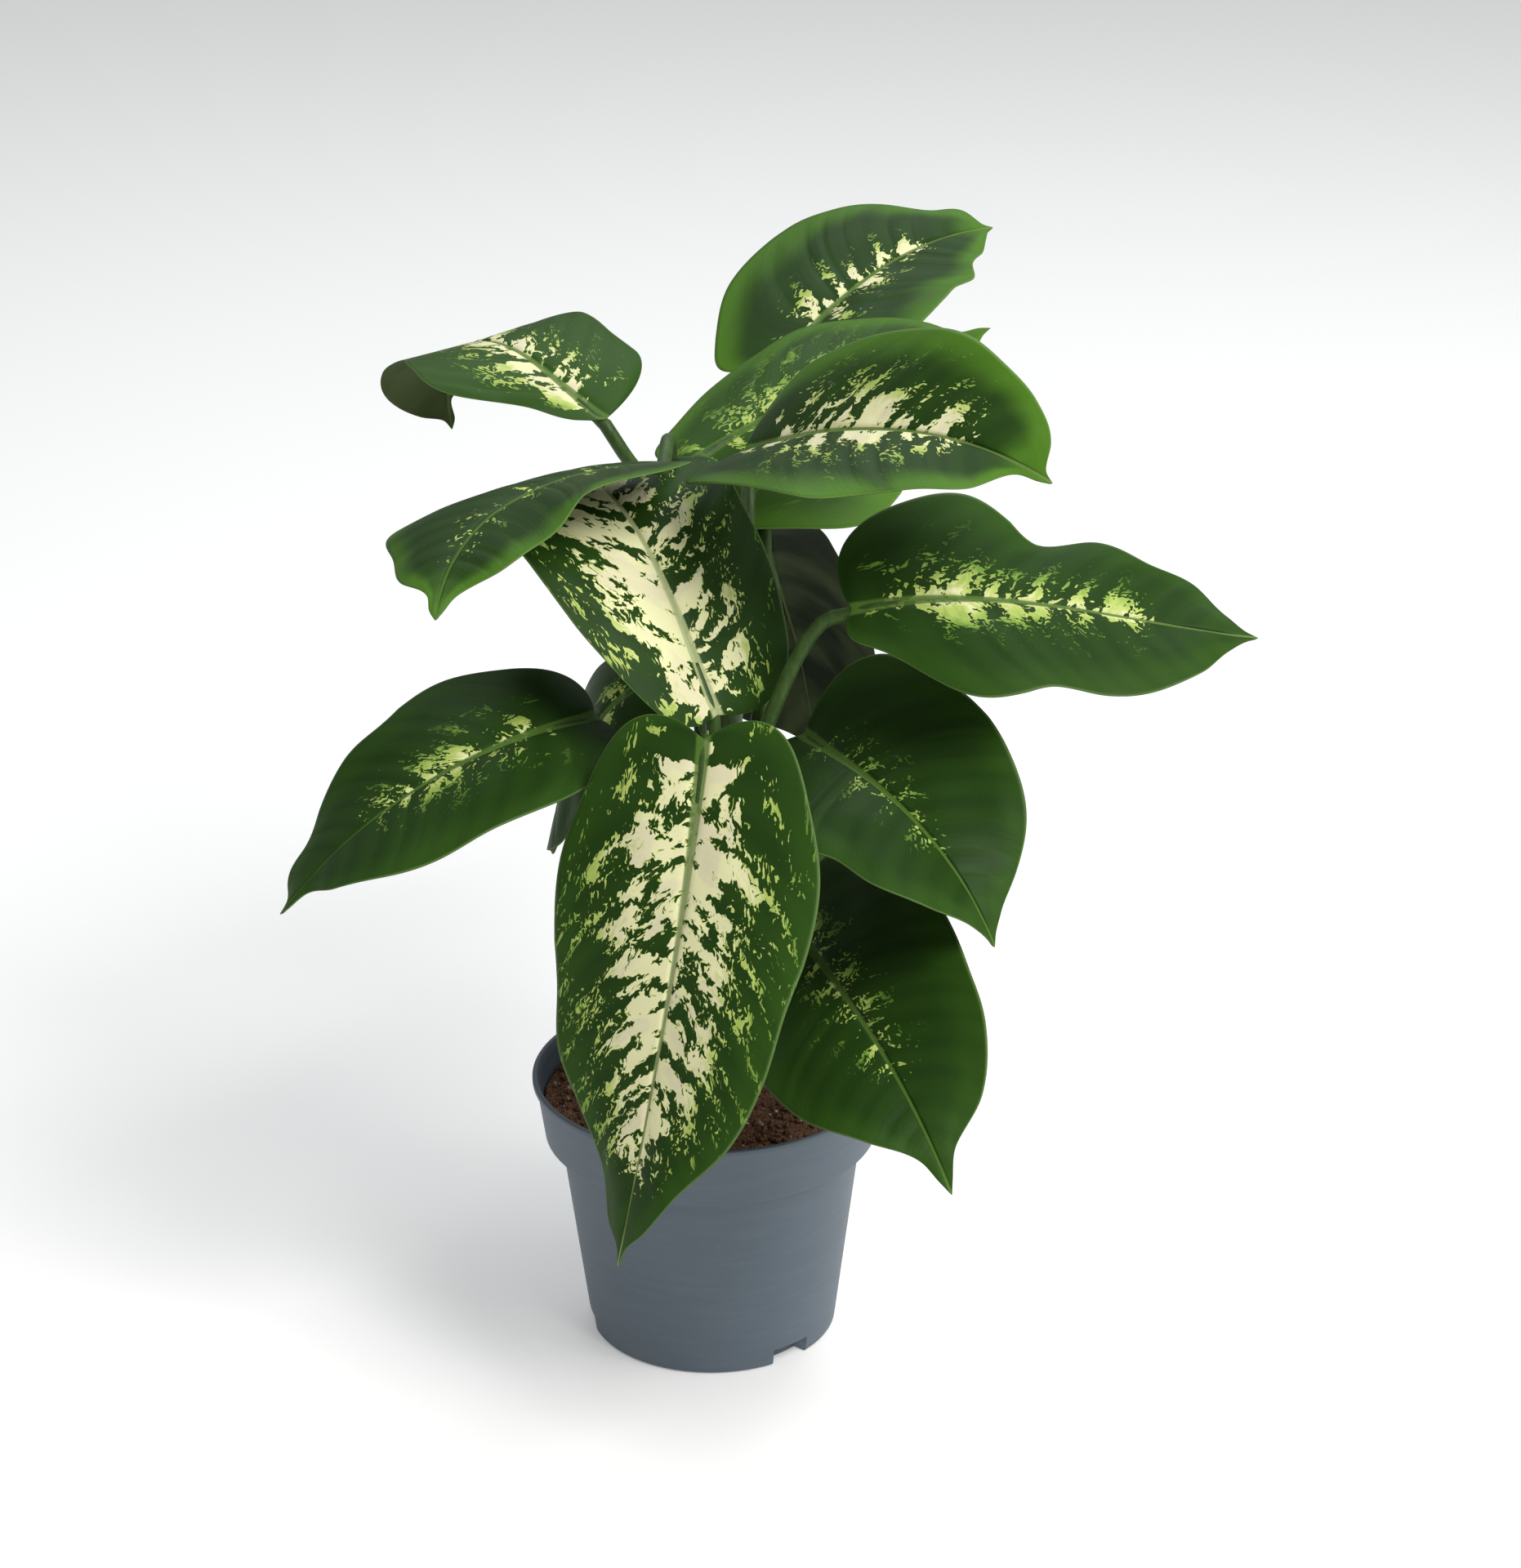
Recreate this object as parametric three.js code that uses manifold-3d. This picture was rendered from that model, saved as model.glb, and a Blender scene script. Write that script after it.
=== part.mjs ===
// A potted dieffenbachia: a nursery pot of soil with three shoots and thirteen broad leaves.
// Millimetres, +Z up. The origin is the middle of the pot's flat foot, and -Y is the plant's front.
import * as THREE from "three";
import { mergeVertices } from "three/addons/utils/BufferGeometryUtils.js";
import Module from "manifold-3d";

const wasm = await Module();
wasm.setup();

// Pot
const RIM_RADIUS = 60;
const POT_HEIGHT = 93.5;
const FOOT_RADIUS = 42;
const FLOOR_THICKNESS = 7.5;
const WALL_THICKNESS = 1.3;
const COLLAR_BOTTOM = 71.8; // height at which the wall steps out to the collar band
const WALL_TOP_RADIUS = 51.1;
const COLLAR_BOTTOM_RADIUS = 56.1;
const COLLAR_TOP_RADIUS = 58.8;
const LIP_HEIGHT = 2.2;
const POT_SIDES = 36;
const DRAIN_SLOT = { width: 14, height: 6, depth: 5 };
const DRAIN_HEADINGS = [-51, 69, 189]; // degrees, one slot at each

// Soil
const GAP = 0.3; // clearance between neighbouring pieces
const SOIL_TOP = 84.5;
const SOIL_BUMP = 0.9;

// Leaves and stems
const STEM_SIDES = 10;
const STEM_TAPER = 0.22; // share of its radius that a cane loses from the soil to its top
const SCAR_DEPTH = 0.25; // the cane is narrower by this between two leaf scars
const HOLE_EXTRA = 0.02; // share of the cane's length by which its hole in the soil goes deeper
// The furled young leaf on a cane: share of the way to its tip, and radius as a share of the cane's there.
const FURLED_LEAF = [[0.25, 0.8], [0.6, 0.55], [0.92, 0.2], [1, 0.06]];
const BLADE_THICKNESS = 0.8;
const RIB_DEPTH = 2.4; // how far the midrib stands out under the blade at its base
const PETIOLE_RADIUS = { sheath: 4.0, blade: 2.4 };
const PETIOLE_LEAVING = 15; // straight lengths at the petiole's two ends
const PETIOLE_ARRIVING = 11;
const PETIOLE_LEAN = { outward: 0.6, up: 0.8 }; // direction in which it leaves the cane
const PETIOLE_SIDES = 6;
const PETIOLE_RINGS = 9;
const SHEATH_LENGTH = 12;
const SHEATH_WALL = { bottom: 1.5, top: 1.1 };
const DRIP_HALF_WIDTH = 2.2; // half width of the drip tip just before it ends
const RIB_RUN_OUT = 0.12; // share of the blade's length along which the petiole fades into the midrib
// Share of the blade's length at each cross line of the mesh, and where across it the lines of vertices run.
const CROSS_LINES = [0.02, 0.07, 0.14, 0.23, 0.33, 0.44, 0.55, 0.66, 0.77, 0.87, 0.94];
const LONG_LINES = [-1, -0.68, -0.34, -0.07, 0, 0.07, 0.34, 0.68, 1];
// Half widths in the leaf table are given at these shares of the blade's length.
const WIDTH_STATIONS = [0.1, 0.22, 0.36, 0.5, 0.64, 0.78, 0.9];

// Shoots: points that the cane's centre line passes through, then the tip of its furled young leaf.
const SHOOTS = {
  stem_main: { radius: 7, scars: 6, path: [[-4, 16, 40], [2, 33, 135], [5, 48, 235]], tip: [0, 62, 262] },
  stem_front: {
    radius: 6.5, scars: 5, path: [[0, -2, 40], [-2, -5, 110], [-2, -10, 172]], tip: [1, -32, 229],
  },
  stem_right: { radius: 6, scars: 4, path: [[30, 22, 40], [36, 24, 100], [38, 22, 150]], tip: [45, 30, 190] },
};

// Each leaf: the shoot that it grows on and the height of its sheath there; the points that its petiole runs
// through, and the direction in which it arrives at the blade; the blade's base point and length; heading
// (degrees anticlockwise from +X, seen from above) and pitch (degrees above level) of the midrib at its base,
// middle and tip; roll of the blade about the midrib at base and tip; fold, the angle at which both halves
// rise from the midrib; droop, the angle through which the left and the right half bend down by the margin;
// how far the base lobes reach back; the margin's wave as height, waves per length and phase; and half widths
// of the left and the right half, looking from the base to the tip.
const LEAVES = [
  {
    name: "leaf_front", shoot: "stem_front", node: 136,
    via: [[-5, -34, 205]], arrive: [0, -0.3, 0.9],
    base: [0, -49, 233], length: 166, heading: [-103, -112, -120], pitch: [-62, -62, -67],
    roll: [5, 27], fold: 8, droop: [17, 23], lobe: 14, wave: [1.2, 2.2, 0.1],
    left: [34, 45, 43, 42, 35, 21, 10], right: [36, 47, 45, 42, 30, 18, 10],
  },
  {
    name: "leaf_middle", shoot: "stem_front", node: 156,
    via: [[0, -16, 200]], arrive: [0, 0, 1],
    base: [4, -23, 231], length: 150, heading: [128, 120, 108], pitch: [55, 23, -87],
    roll: [8, -7], fold: 8, droop: [21, 15], lobe: 6, wave: [1, 2.5, 0.25],
    left: [27, 39, 46, 40, 33, 22, 10], right: [38, 43, 42, 41, 28, 17, 8],
  },
  {
    name: "leaf_folded", shoot: "stem_main", node: 178,
    via: [[-5, 65, 232], [-11, 74, 270], [-12, 60, 296]], arrive: [0, -1, 0],
    base: [-13, 28, 299], length: 133, heading: [201, 239, 268], pitch: [4, -6, -22],
    roll: [12, 4], fold: 7, droop: [6, 34], lobe: 7, wave: [1, 2.5, 0.2],
    left: [33, 35, 35, 34, 28, 19, 5], right: [20, 26, 33, 36, 25, 16, 4],
  },
  {
    name: "leaf_upper_left", shoot: "stem_main", node: 142,
    via: [[-13, 58, 222], [-19, 91, 266]], arrive: [-0.5, 0.1, 0.8],
    base: [-34, 91, 294], length: 116, heading: [140, 131, 131], pitch: [20, -3, -120],
    roll: [-11, 0], fold: 5, droop: [7, 22], lobe: -5, wave: [0.6, 2, 0.5],
    left: [18, 39, 38, 31, 30, 24, 11], right: [38, 38, 39, 28, 22, 17, 2],
  },
  {
    name: "leaf_left", shoot: "stem_front", node: 96,
    via: [[-22, -3, 188]], arrive: [-0.6, 0, 0.7],
    base: [-36, -3, 223], length: 126, heading: [216, 207, 196], pitch: [4, -22, -52],
    roll: [-23, 6], fold: 8, droop: [19, 21], lobe: 9, wave: [1.2, 2.5, 0.3],
    left: [25, 33, 35, 34, 29, 18, 4], right: [30, 40, 35, 33, 28, 17, 11],
  },
  {
    name: "leaf_right", shoot: "stem_front", node: 116,
    via: [[10, -15, 168], [13, -17, 200], [19, -18, 223]], arrive: [0.9, 0, 0.3],
    base: [47, -11, 262], length: 133, heading: [-1, 4, 5], pitch: [14, -10, -9],
    roll: [35, 23], fold: 7, droop: [15, 13], lobe: 7, wave: [1.5, 2.5, 0.6],
    left: [37, 42, 26, 30, 25, 22, 8], right: [19, 39, 35, 34, 30, 20, 7],
  },
  {
    name: "leaf_upper_right", shoot: "stem_main", node: 199,
    via: [[13, 54, 250], [14, 59, 272]], arrive: [0, -0.7, 0.7],
    base: [13, 40, 299], length: 128, heading: [-53, -38, -31], pitch: [25, 9, -25],
    roll: [22, 30], fold: 18, droop: [10, 13], lobe: 9, wave: [1.2, 2, 0],
    left: [36, 42, 41, 37, 30, 22, 11], right: [33, 41, 48, 40, 31, 21, 4],
  },
  {
    name: "leaf_top", shoot: "stem_main", node: 221,
    via: [[7, 73, 246], [15, 102, 268]], arrive: [0.3, 0.9, 0.4],
    base: [29, 155, 299], length: 106, heading: [53, 42, 28], pitch: [26, 17, -3],
    roll: [-6, 22], fold: 10, droop: [16, 17], lobe: 22, wave: [0.7, 2.5, 0.7],
    left: [30, 47, 48, 40, 30, 18, 11], right: [36, 41, 36, 33, 23, 16, 7],
  },
  {
    name: "leaf_upper_back", shoot: "stem_main", node: 160,
    via: [[2, 72, 222], [-4, 78, 256]], arrive: [0, 0.1, 1],
    base: [-2, 82, 284], length: 115, heading: [36, 24, 13], pitch: [20, 16, 10],
    roll: [20, 30], fold: -6, droop: [28, 25], lobe: 15, wave: [1, 2.5, 0.1],
    left: [23, 37, 44, 41, 32, 16, 3], right: [37, 52, 42, 37, 31, 21, 8],
  },
  {
    name: "leaf_lower_right", shoot: "stem_right", node: 128,
    via: [[42, 17, 172]], arrive: [-0.3, -0.3, 0.9],
    base: [32, 15, 209], length: 120, heading: [-66, -56, -43], pitch: [4, -14, -64],
    roll: [37, -9], fold: 15, droop: [4, 10], lobe: 10, wave: [1, 2.5, 0.5],
    left: [37, 40, 40, 36, 29, 18, 7], right: [20, 30, 41, 34, 31, 21, 7],
  },
  {
    name: "leaf_low_right", shoot: "stem_right", node: 100,
    via: [[28, 10, 132]], arrive: [-0.1, -0.7, 0.6],
    base: [25, 4, 149], length: 154, heading: [-76, -70, -61], pitch: [3, -8, -47],
    roll: [44, 15], fold: 11, droop: [7, 20], lobe: 9, wave: [1.2, 2.5, 0.5],
    left: [35, 43, 41, 37, 32, 21, 6], right: [19, 28, 37, 36, 30, 18, 5],
  },
  {
    name: "leaf_back", shoot: "stem_main", node: 122,
    via: [[18, 66, 200], [22, 92, 234]], arrive: [0, 0.3, 0.9],
    base: [19, 98, 256], length: 143, heading: [90, 69, 50], pitch: [-34, -57, -86],
    roll: [-19, -1], fold: -9, droop: [38, 35], lobe: 9, wave: [1.2, 2, 0.3],
    left: [26, 33, 32, 33, 32, 26, 10], right: [23, 29, 34, 36, 32, 23, 10],
  },
  {
    name: "leaf_low_left", shoot: "stem_main", node: 102,
    via: [[-18, 44, 178]], arrive: [-0.2, 0.3, 0.9],
    base: [-21, 62, 211], length: 81, heading: [177, 160, 142], pitch: [-33, -64, -86],
    roll: [-31, -12], fold: 0, droop: [25, 17], lobe: 5, wave: [0.8, 2, 0.3],
    left: [24, 35, 33, 26, 23, 16, 7], right: [21, 31, 30, 28, 23, 16, 8],
  },
];

const vec = (p) => new THREE.Vector3(...p);
const radians = THREE.MathUtils.degToRad;
const smooth = (a, b, x) => THREE.MathUtils.smoothstep(x, a, b);

// ---- Solids ----

// The closed mesh of a geometry as a solid, and back.
function solidOf(geometry) {
  const bare = geometry.clone();
  bare.deleteAttribute("normal");
  bare.deleteAttribute("uv");
  const merged = mergeVertices(bare, 1e-4);
  return new wasm.Manifold(
    new wasm.Mesh({
      numProp: 3,
      vertProperties: new Float32Array(merged.attributes.position.array),
      triVerts: new Uint32Array(merged.index.array),
    }),
  );
}

function geometryOf(solid) {
  const mesh = solid.getMesh();
  const geometry = new THREE.BufferGeometry();
  geometry.setAttribute("position", new THREE.BufferAttribute(mesh.vertProperties, 3));
  geometry.setIndex(new THREE.BufferAttribute(mesh.triVerts, 1));
  geometry.computeVertexNormals();
  return geometry;
}

function indexedGeometry(points, triangles) {
  const geometry = new THREE.BufferGeometry();
  geometry.setAttribute("position", new THREE.Float32BufferAttribute(points.flatMap((p) => p.toArray()), 3));
  geometry.setIndex(triangles);
  return geometry;
}

// A closed tube of changing radius through the given centres, with round or pointed ends as the radii fall.
function tube(centres, radii, sides) {
  const points = [];
  const triangles = [];
  let side = new THREE.Vector3(1, 0, 0);
  centres.forEach((centre, i) => {
    const before = centres[Math.max(i - 1, 0)];
    const after = centres[Math.min(i + 1, centres.length - 1)];
    const along = after.clone().sub(before).normalize();
    side = side.clone().addScaledVector(along, -side.dot(along)).normalize();
    const up = along.clone().cross(side);
    for (let k = 0; k < sides; k++) {
      const angle = (2 * Math.PI * k) / sides;
      points.push(
        centre
          .clone()
          .addScaledVector(side, radii[i] * Math.cos(angle))
          .addScaledVector(up, radii[i] * Math.sin(angle)),
      );
    }
  });
  const last = (centres.length - 1) * sides;
  for (let i = 0; i < last; i += sides) {
    for (let k = 0; k < sides; k++) {
      const next = (k + 1) % sides;
      triangles.push(i + k, i + next, i + sides + next, i + k, i + sides + next, i + sides + k);
    }
  }
  const start = points.push(centres[0].clone()) - 1;
  const end = points.push(centres.at(-1).clone()) - 1;
  for (let k = 0; k < sides; k++) {
    const next = (k + 1) % sides;
    triangles.push(start, next, k, end, last + k, last + next);
  }
  return solidOf(indexedGeometry(points, triangles));
}

// ---- Pot ----

function potSolid() {
  const outer = [
    [0, 0],
    [FOOT_RADIUS, 0],
    [WALL_TOP_RADIUS, COLLAR_BOTTOM],
    [COLLAR_BOTTOM_RADIUS, COLLAR_BOTTOM],
    [COLLAR_TOP_RADIUS, POT_HEIGHT - LIP_HEIGHT],
    [RIM_RADIUS, POT_HEIGHT - LIP_HEIGHT],
    [RIM_RADIUS, POT_HEIGHT],
  ];
  const profile = [...outer, ...potInside().reverse()].map(([r, z]) => new THREE.Vector2(r, z));
  const turned = new THREE.LatheGeometry(profile, POT_SIDES).rotateX(Math.PI / 2);
  let pot = solidOf(turned);
  for (const heading of DRAIN_HEADINGS) pot = pot.subtract(drainSlot(heading));
  return pot;
}

// The pot's inner profile from the middle of its floor to the lip.
function potInside() {
  return [
    [0, FLOOR_THICKNESS],
    [FOOT_RADIUS - WALL_THICKNESS + 0.2, FLOOR_THICKNESS],
    [WALL_TOP_RADIUS - WALL_THICKNESS, COLLAR_BOTTOM - 0.6],
    [COLLAR_BOTTOM_RADIUS - WALL_THICKNESS - 0.3, COLLAR_BOTTOM + 1.4],
    [COLLAR_TOP_RADIUS - WALL_THICKNESS, POT_HEIGHT],
  ];
}

function drainSlot(heading) {
  const { width, height, depth } = DRAIN_SLOT;
  const slot = new THREE.BoxGeometry(2 * depth, width, 2 * height);
  slot.translate(FOOT_RADIUS, 0, 0);
  slot.rotateZ(radians(heading));
  return solidOf(slot);
}

// ---- Soil ----

// Low uneven crumbs of soil, as a height above the soil's mean level at a place seen from above.
function soilBump(x, y) {
  const swell = Math.sin(0.11 * x + 0.6) * Math.cos(0.13 * y - 0.4);
  const crumbs = Math.sin(0.47 * x + 0.21 * y) * Math.cos(0.39 * y - 0.17 * x);
  return SOIL_BUMP * (swell + 0.5 * crumbs);
}

function soilSolid() {
  const inside = potInside();
  const [, floor, wall, step, collar] = inside;
  const share = (SOIL_TOP - step[1]) / (collar[1] - step[1]);
  const edge = step[0] + (collar[0] - step[0]) * share;
  const profile = [
    [0, floor[1] + GAP],
    [floor[0] - GAP, floor[1] + GAP],
    [wall[0] - GAP, wall[1] + GAP],
    [step[0] - GAP, step[1] + GAP],
    [edge - GAP, SOIL_TOP],
    [0.82 * edge, SOIL_TOP],
    [0.62 * edge, SOIL_TOP],
    [0.42 * edge, SOIL_TOP],
    [0.2 * edge, SOIL_TOP],
    [0, SOIL_TOP],
  ].map(([r, z]) => new THREE.Vector2(r, z));
  const turned = new THREE.LatheGeometry(profile, POT_SIDES).rotateX(Math.PI / 2);
  const position = turned.attributes.position;
  for (let i = 0; i < position.count; i++) {
    const x = position.getX(i);
    const y = position.getY(i);
    const inner = smooth(0, 1, (edge - Math.hypot(x, y)) / (0.3 * edge));
    if (position.getZ(i) > SOIL_TOP - 0.01) position.setZ(i, SOIL_TOP + inner * (1.2 + soilBump(x, y)));
  }
  let soil = solidOf(turned);
  for (const shoot of Object.values(SHOOTS)) soil = soil.subtract(stemTube(shoot, GAP));
  return soil;
}

// ---- Stems ----

// The cane's centre line: a quadratic through its three path points, by its share t from the bottom.
function stemCentre(shoot, t) {
  const [a, b, c] = shoot.path.map(vec);
  return a
    .multiplyScalar((1 - t) * (1 - 2 * t))
    .addScaledVector(b, 4 * t * (1 - t))
    .addScaledVector(c, t * (2 * t - 1));
}

function stemAtHeight(shoot, z) {
  let low = 0;
  let high = 1;
  for (let i = 0; i < 40; i++) {
    const middle = (low + high) / 2;
    if (stemCentre(shoot, middle).z < z) low = middle;
    else high = middle;
  }
  return low;
}

const stemRadius = (shoot, t) => shoot.radius * (1 - STEM_TAPER * t);

// The cane with a low ring at each leaf scar, or grown by an allowance on all sides and without rings.
function stemTube(shoot, allowance = 0) {
  const centres = [];
  const radii = [];
  const steps = shoot.scars * 2;
  const down = allowance ? -HOLE_EXTRA : 0;
  for (let i = 0; i <= steps; i++) {
    const t = down + ((1 - down) * i) / steps;
    const scar = allowance || i % 2 ? 0 : SCAR_DEPTH;
    centres.push(stemCentre(shoot, t));
    radii.push(stemRadius(shoot, t) - scar + allowance);
  }
  const top = centres.at(-1).clone();
  const tip = vec(shoot.tip);
  for (const [share, size] of FURLED_LEAF) {
    centres.push(top.clone().lerp(tip, share));
    radii.push(stemRadius(shoot, 1) * size + allowance);
  }
  return tube(centres, radii, STEM_SIDES);
}

// ---- Leaves ----

// Value at share s along the leaf of a quantity given at its base, middle and tip.
function throughThree([a, b, c], s) {
  return a * (1 - s) * (1 - 2 * s) + b * 4 * s * (1 - s) + c * s * (2 * s - 1);
}

// A smooth curve through (xs, ys) whose slope at each point is the mean of its neighbours' slopes.
function smoothThrough(xs, ys, x) {
  const slope = (i) => (ys[i + 1] - ys[i]) / (xs[i + 1] - xs[i]);
  const last = xs.length - 1;
  const tangent = (i) => {
    if (i === 0) return slope(0);
    if (i === last) return slope(last - 1);
    const before = xs[i] - xs[i - 1];
    const after = xs[i + 1] - xs[i];
    return (slope(i - 1) * after + slope(i) * before) / (before + after);
  };
  let i = 0;
  while (i < last - 1 && x >= xs[i + 1]) i++;
  const h = xs[i + 1] - xs[i];
  const t = (x - xs[i]) / h;
  return (
    (2 * t ** 3 - 3 * t ** 2 + 1) * ys[i] +
    (t ** 3 - 2 * t ** 2 + t) * h * tangent(i) +
    (-2 * t ** 3 + 3 * t ** 2) * ys[i + 1] +
    (t ** 3 - t ** 2) * h * tangent(i + 1)
  );
}

// Half width of the blade at share s: round at the base, then through the table's widths to the drip tip.
function halfWidth(widths, s) {
  const round = Math.sqrt(Math.max(0, 1 - (1 - Math.min(s / 0.13, 1)) ** 2));
  const xs = [0, ...WIDTH_STATIONS, 0.96, 1];
  const ys = [0.94 * widths[0], ...widths, DRIP_HALF_WIDTH, 0];
  return round * Math.max(0, smoothThrough(xs, ys, s));
}

// Directions at share s of the midrib: along it, to the leaf's left, and out of its upper face.
function ribFrame(leaf, s) {
  const heading = radians(throughThree(leaf.heading, s));
  const pitch = radians(throughThree(leaf.pitch, s));
  const roll = radians(leaf.roll[0] + (leaf.roll[1] - leaf.roll[0]) * s);
  const along = new THREE.Vector3(
    Math.cos(pitch) * Math.cos(heading),
    Math.cos(pitch) * Math.sin(heading),
    Math.sin(pitch),
  );
  const level = new THREE.Vector3(-Math.sin(heading), Math.cos(heading), 0);
  const upright = along.clone().cross(level);
  const left = level.clone().multiplyScalar(Math.cos(roll)).addScaledVector(upright, Math.sin(roll));
  const up = upright.multiplyScalar(Math.cos(roll)).addScaledVector(level, -Math.sin(roll));
  return { along, left, up };
}

// Points of the midrib at even shares, found by adding up short straight steps.
const RIB_STEPS = 60;
function ribPoints(leaf) {
  const points = [vec(leaf.base)];
  for (let i = 0; i < RIB_STEPS; i++) {
    const { along } = ribFrame(leaf, (i + 0.5) / RIB_STEPS);
    points.push(points[i].clone().addScaledVector(along, leaf.length / RIB_STEPS));
  }
  return points;
}

function ribAt(points, s) {
  const place = Math.min(Math.max(s, 0), 1) * RIB_STEPS;
  const i = Math.min(Math.floor(place), RIB_STEPS - 1);
  return points[i].clone().lerp(points[i + 1], place - i);
}

// A point of the blade's upper face at share s along it and v across it, from -1 (right margin) to 1 (left).
function bladePoint(leaf, rib, s, v) {
  const { along, left, up } = ribFrame(leaf, s);
  const side = v < 0 ? -1 : 1;
  const reach = Math.abs(v);
  const width = halfWidth(v < 0 ? leaf.right : leaf.left, s);
  const droop = leaf.droop[v < 0 ? 1 : 0];
  const bends = 8;
  let across = 0;
  let height = 0;
  for (let k = 0; k < bends; k++) {
    const angle = radians(leaf.fold - (droop * reach * (k + 0.5)) / bends);
    across += (Math.cos(angle) * reach) / bends;
    height += (Math.sin(angle) * reach) / bends;
  }
  const [waveHeight, waves, phase] = leaf.wave;
  const wave = waveHeight * reach ** 2 * smooth(0, 0.15, s) * (1 - smooth(0.85, 1, s));
  const ripple = wave * Math.sin(2 * Math.PI * (waves * s + phase + 0.17 * side));
  const q = Math.sqrt(Math.min(s / 0.3, 1));
  const lobe = leaf.lobe * 4 * q * (1 - q);
  const sweep = (0.45 * width * Math.min(s / 0.35, 1) - lobe) * reach ** 1.5;
  return ribAt(rib, s)
    .addScaledVector(left, side * width * across)
    .addScaledVector(up, width * height + ripple)
    .addScaledVector(along, sweep);
}

// The blade as one closed solid. Its faces share their split, and the midrib is a ridge underneath.
function bladeSolid(leaf, rib) {
  const columns = LONG_LINES.length;
  const rows = CROSS_LINES.map((s) => LONG_LINES.map((v) => bladePoint(leaf, rib, s, v)));
  const ends = [0, 1].map((s) => ribAt(rib, s));
  const points = [];
  const ridge = (s, v) => (v === 0 ? RIB_DEPTH * (1 - s) ** 1.3 : 0);
  // Upper and lower vertices alternate, so the vertex under point i is i + 1.
  const addPair = (point, normal, depth) => {
    points.push(point, point.clone().addScaledVector(normal, -depth));
    return points.length - 2;
  };
  const baseUp = ribFrame(leaf, 0).up;
  const tipUp = ribFrame(leaf, 1).up;
  const base = addPair(ends[0], baseUp, BLADE_THICKNESS + RIB_DEPTH);
  const grid = rows.map((row, i) =>
    row.map((point, j) => {
      const behind = rows[i - 1]?.[j] ?? ends[0];
      const ahead = rows[i + 1]?.[j] ?? ends[1];
      const alongRow = (row[j + 1] ?? point).clone().sub(row[j - 1] ?? point);
      const normal = ahead.clone().sub(behind).cross(alongRow).normalize();
      return addPair(point, normal, BLADE_THICKNESS + ridge(CROSS_LINES[i], LONG_LINES[j]));
    }),
  );
  const tip = addPair(ends[1], tipUp, BLADE_THICKNESS);
  const triangles = [];
  // One triangle of the upper face and its twin below, turned over.
  const both = (a, b, c) => triangles.push(a, b, c, a + 1, c + 1, b + 1);
  // A strip of the margin between upper vertices a and b, met in this order round the outline.
  const margin = (a, b) => triangles.push(a, a + 1, b + 1, a, b + 1, b);
  for (let j = 0; j < columns - 1; j++) {
    both(base, grid[0][j], grid[0][j + 1]);
    both(tip, grid.at(-1)[j + 1], grid.at(-1)[j]);
    for (let i = 0; i < grid.length - 1; i++) {
      const [a, b] = [grid[i][j], grid[i][j + 1]];
      const [c, d] = [grid[i + 1][j], grid[i + 1][j + 1]];
      const slanted = LONG_LINES[j] < 0;
      both(a, c, slanted ? d : b);
      both(slanted ? a : b, slanted ? d : c, slanted ? b : d);
    }
  }
  const right = [base, ...grid.map((row) => row[0]), tip];
  const left = [base, ...grid.map((row) => row.at(-1)), tip];
  for (let i = 0; i < right.length - 1; i++) {
    margin(right[i], right[i + 1]);
    margin(left[i + 1], left[i]);
  }
  return solidOf(indexedGeometry(points, triangles));
}

// The petiole from its sheath on the cane to the blade, then on under the midrib until it runs out.
function petioleSolid(leaf, rib) {
  const shoot = SHOOTS[leaf.shoot];
  const foot = stemCentre(shoot, stemAtHeight(shoot, leaf.node + 0.4 * SHEATH_LENGTH));
  const { up } = ribFrame(leaf, 0);
  const end = vec(leaf.base).addScaledVector(up, -PETIOLE_RADIUS.blade);
  const outward = vec(leaf.via[0]).sub(foot).setZ(0).normalize();
  const start = foot.clone().addScaledVector(outward, 0.8 * shoot.radius);
  const leaving = outward.clone().multiplyScalar(PETIOLE_LEAN.outward).setZ(PETIOLE_LEAN.up);
  const arriving = vec(leaf.arrive).normalize();
  const curve = new THREE.CatmullRomCurve3([
    start,
    start.clone().addScaledVector(leaving, PETIOLE_LEAVING),
    ...leaf.via.map(vec),
    end.clone().addScaledVector(arriving, -PETIOLE_ARRIVING),
    end,
  ]);
  const centres = curve.getSpacedPoints(PETIOLE_RINGS);
  const radii = centres.map((_, i) =>
    THREE.MathUtils.lerp(PETIOLE_RADIUS.sheath, PETIOLE_RADIUS.blade, Math.min(i / 6, 1)),
  );
  for (const share of [0.4, 0.7, 1]) {
    const s = share * RIB_RUN_OUT;
    const radius = THREE.MathUtils.lerp(PETIOLE_RADIUS.blade, 0.9, share);
    centres.push(ribAt(rib, s).addScaledVector(ribFrame(leaf, s).up, -radius - 0.1));
    radii.push(radius);
  }
  return tube(centres, radii, PETIOLE_SIDES);
}

// The sheath: a short tapered sleeve that clasps the cane.
function sheathSolid(leaf) {
  const shoot = SHOOTS[leaf.shoot];
  const centres = [];
  const radii = [];
  for (const share of [0, 0.25, 0.75, 1]) {
    const t = stemAtHeight(shoot, leaf.node + share * SHEATH_LENGTH);
    const wall = THREE.MathUtils.lerp(SHEATH_WALL.bottom, SHEATH_WALL.top, share);
    const ending = share === 0 || share === 1 ? 0.6 : 0;
    centres.push(stemCentre(shoot, t));
    radii.push(stemRadius(shoot, t) + GAP + wall - ending);
  }
  return tube(centres, radii, STEM_SIDES);
}

function leafSolid(leaf) {
  const rib = ribPoints(leaf);
  return bladeSolid(leaf, rib)
    .add(petioleSolid(leaf, rib))
    .add(sheathSolid(leaf))
    .subtract(stemTube(SHOOTS[leaf.shoot], GAP));
}

// ---- Assembly ----

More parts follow.
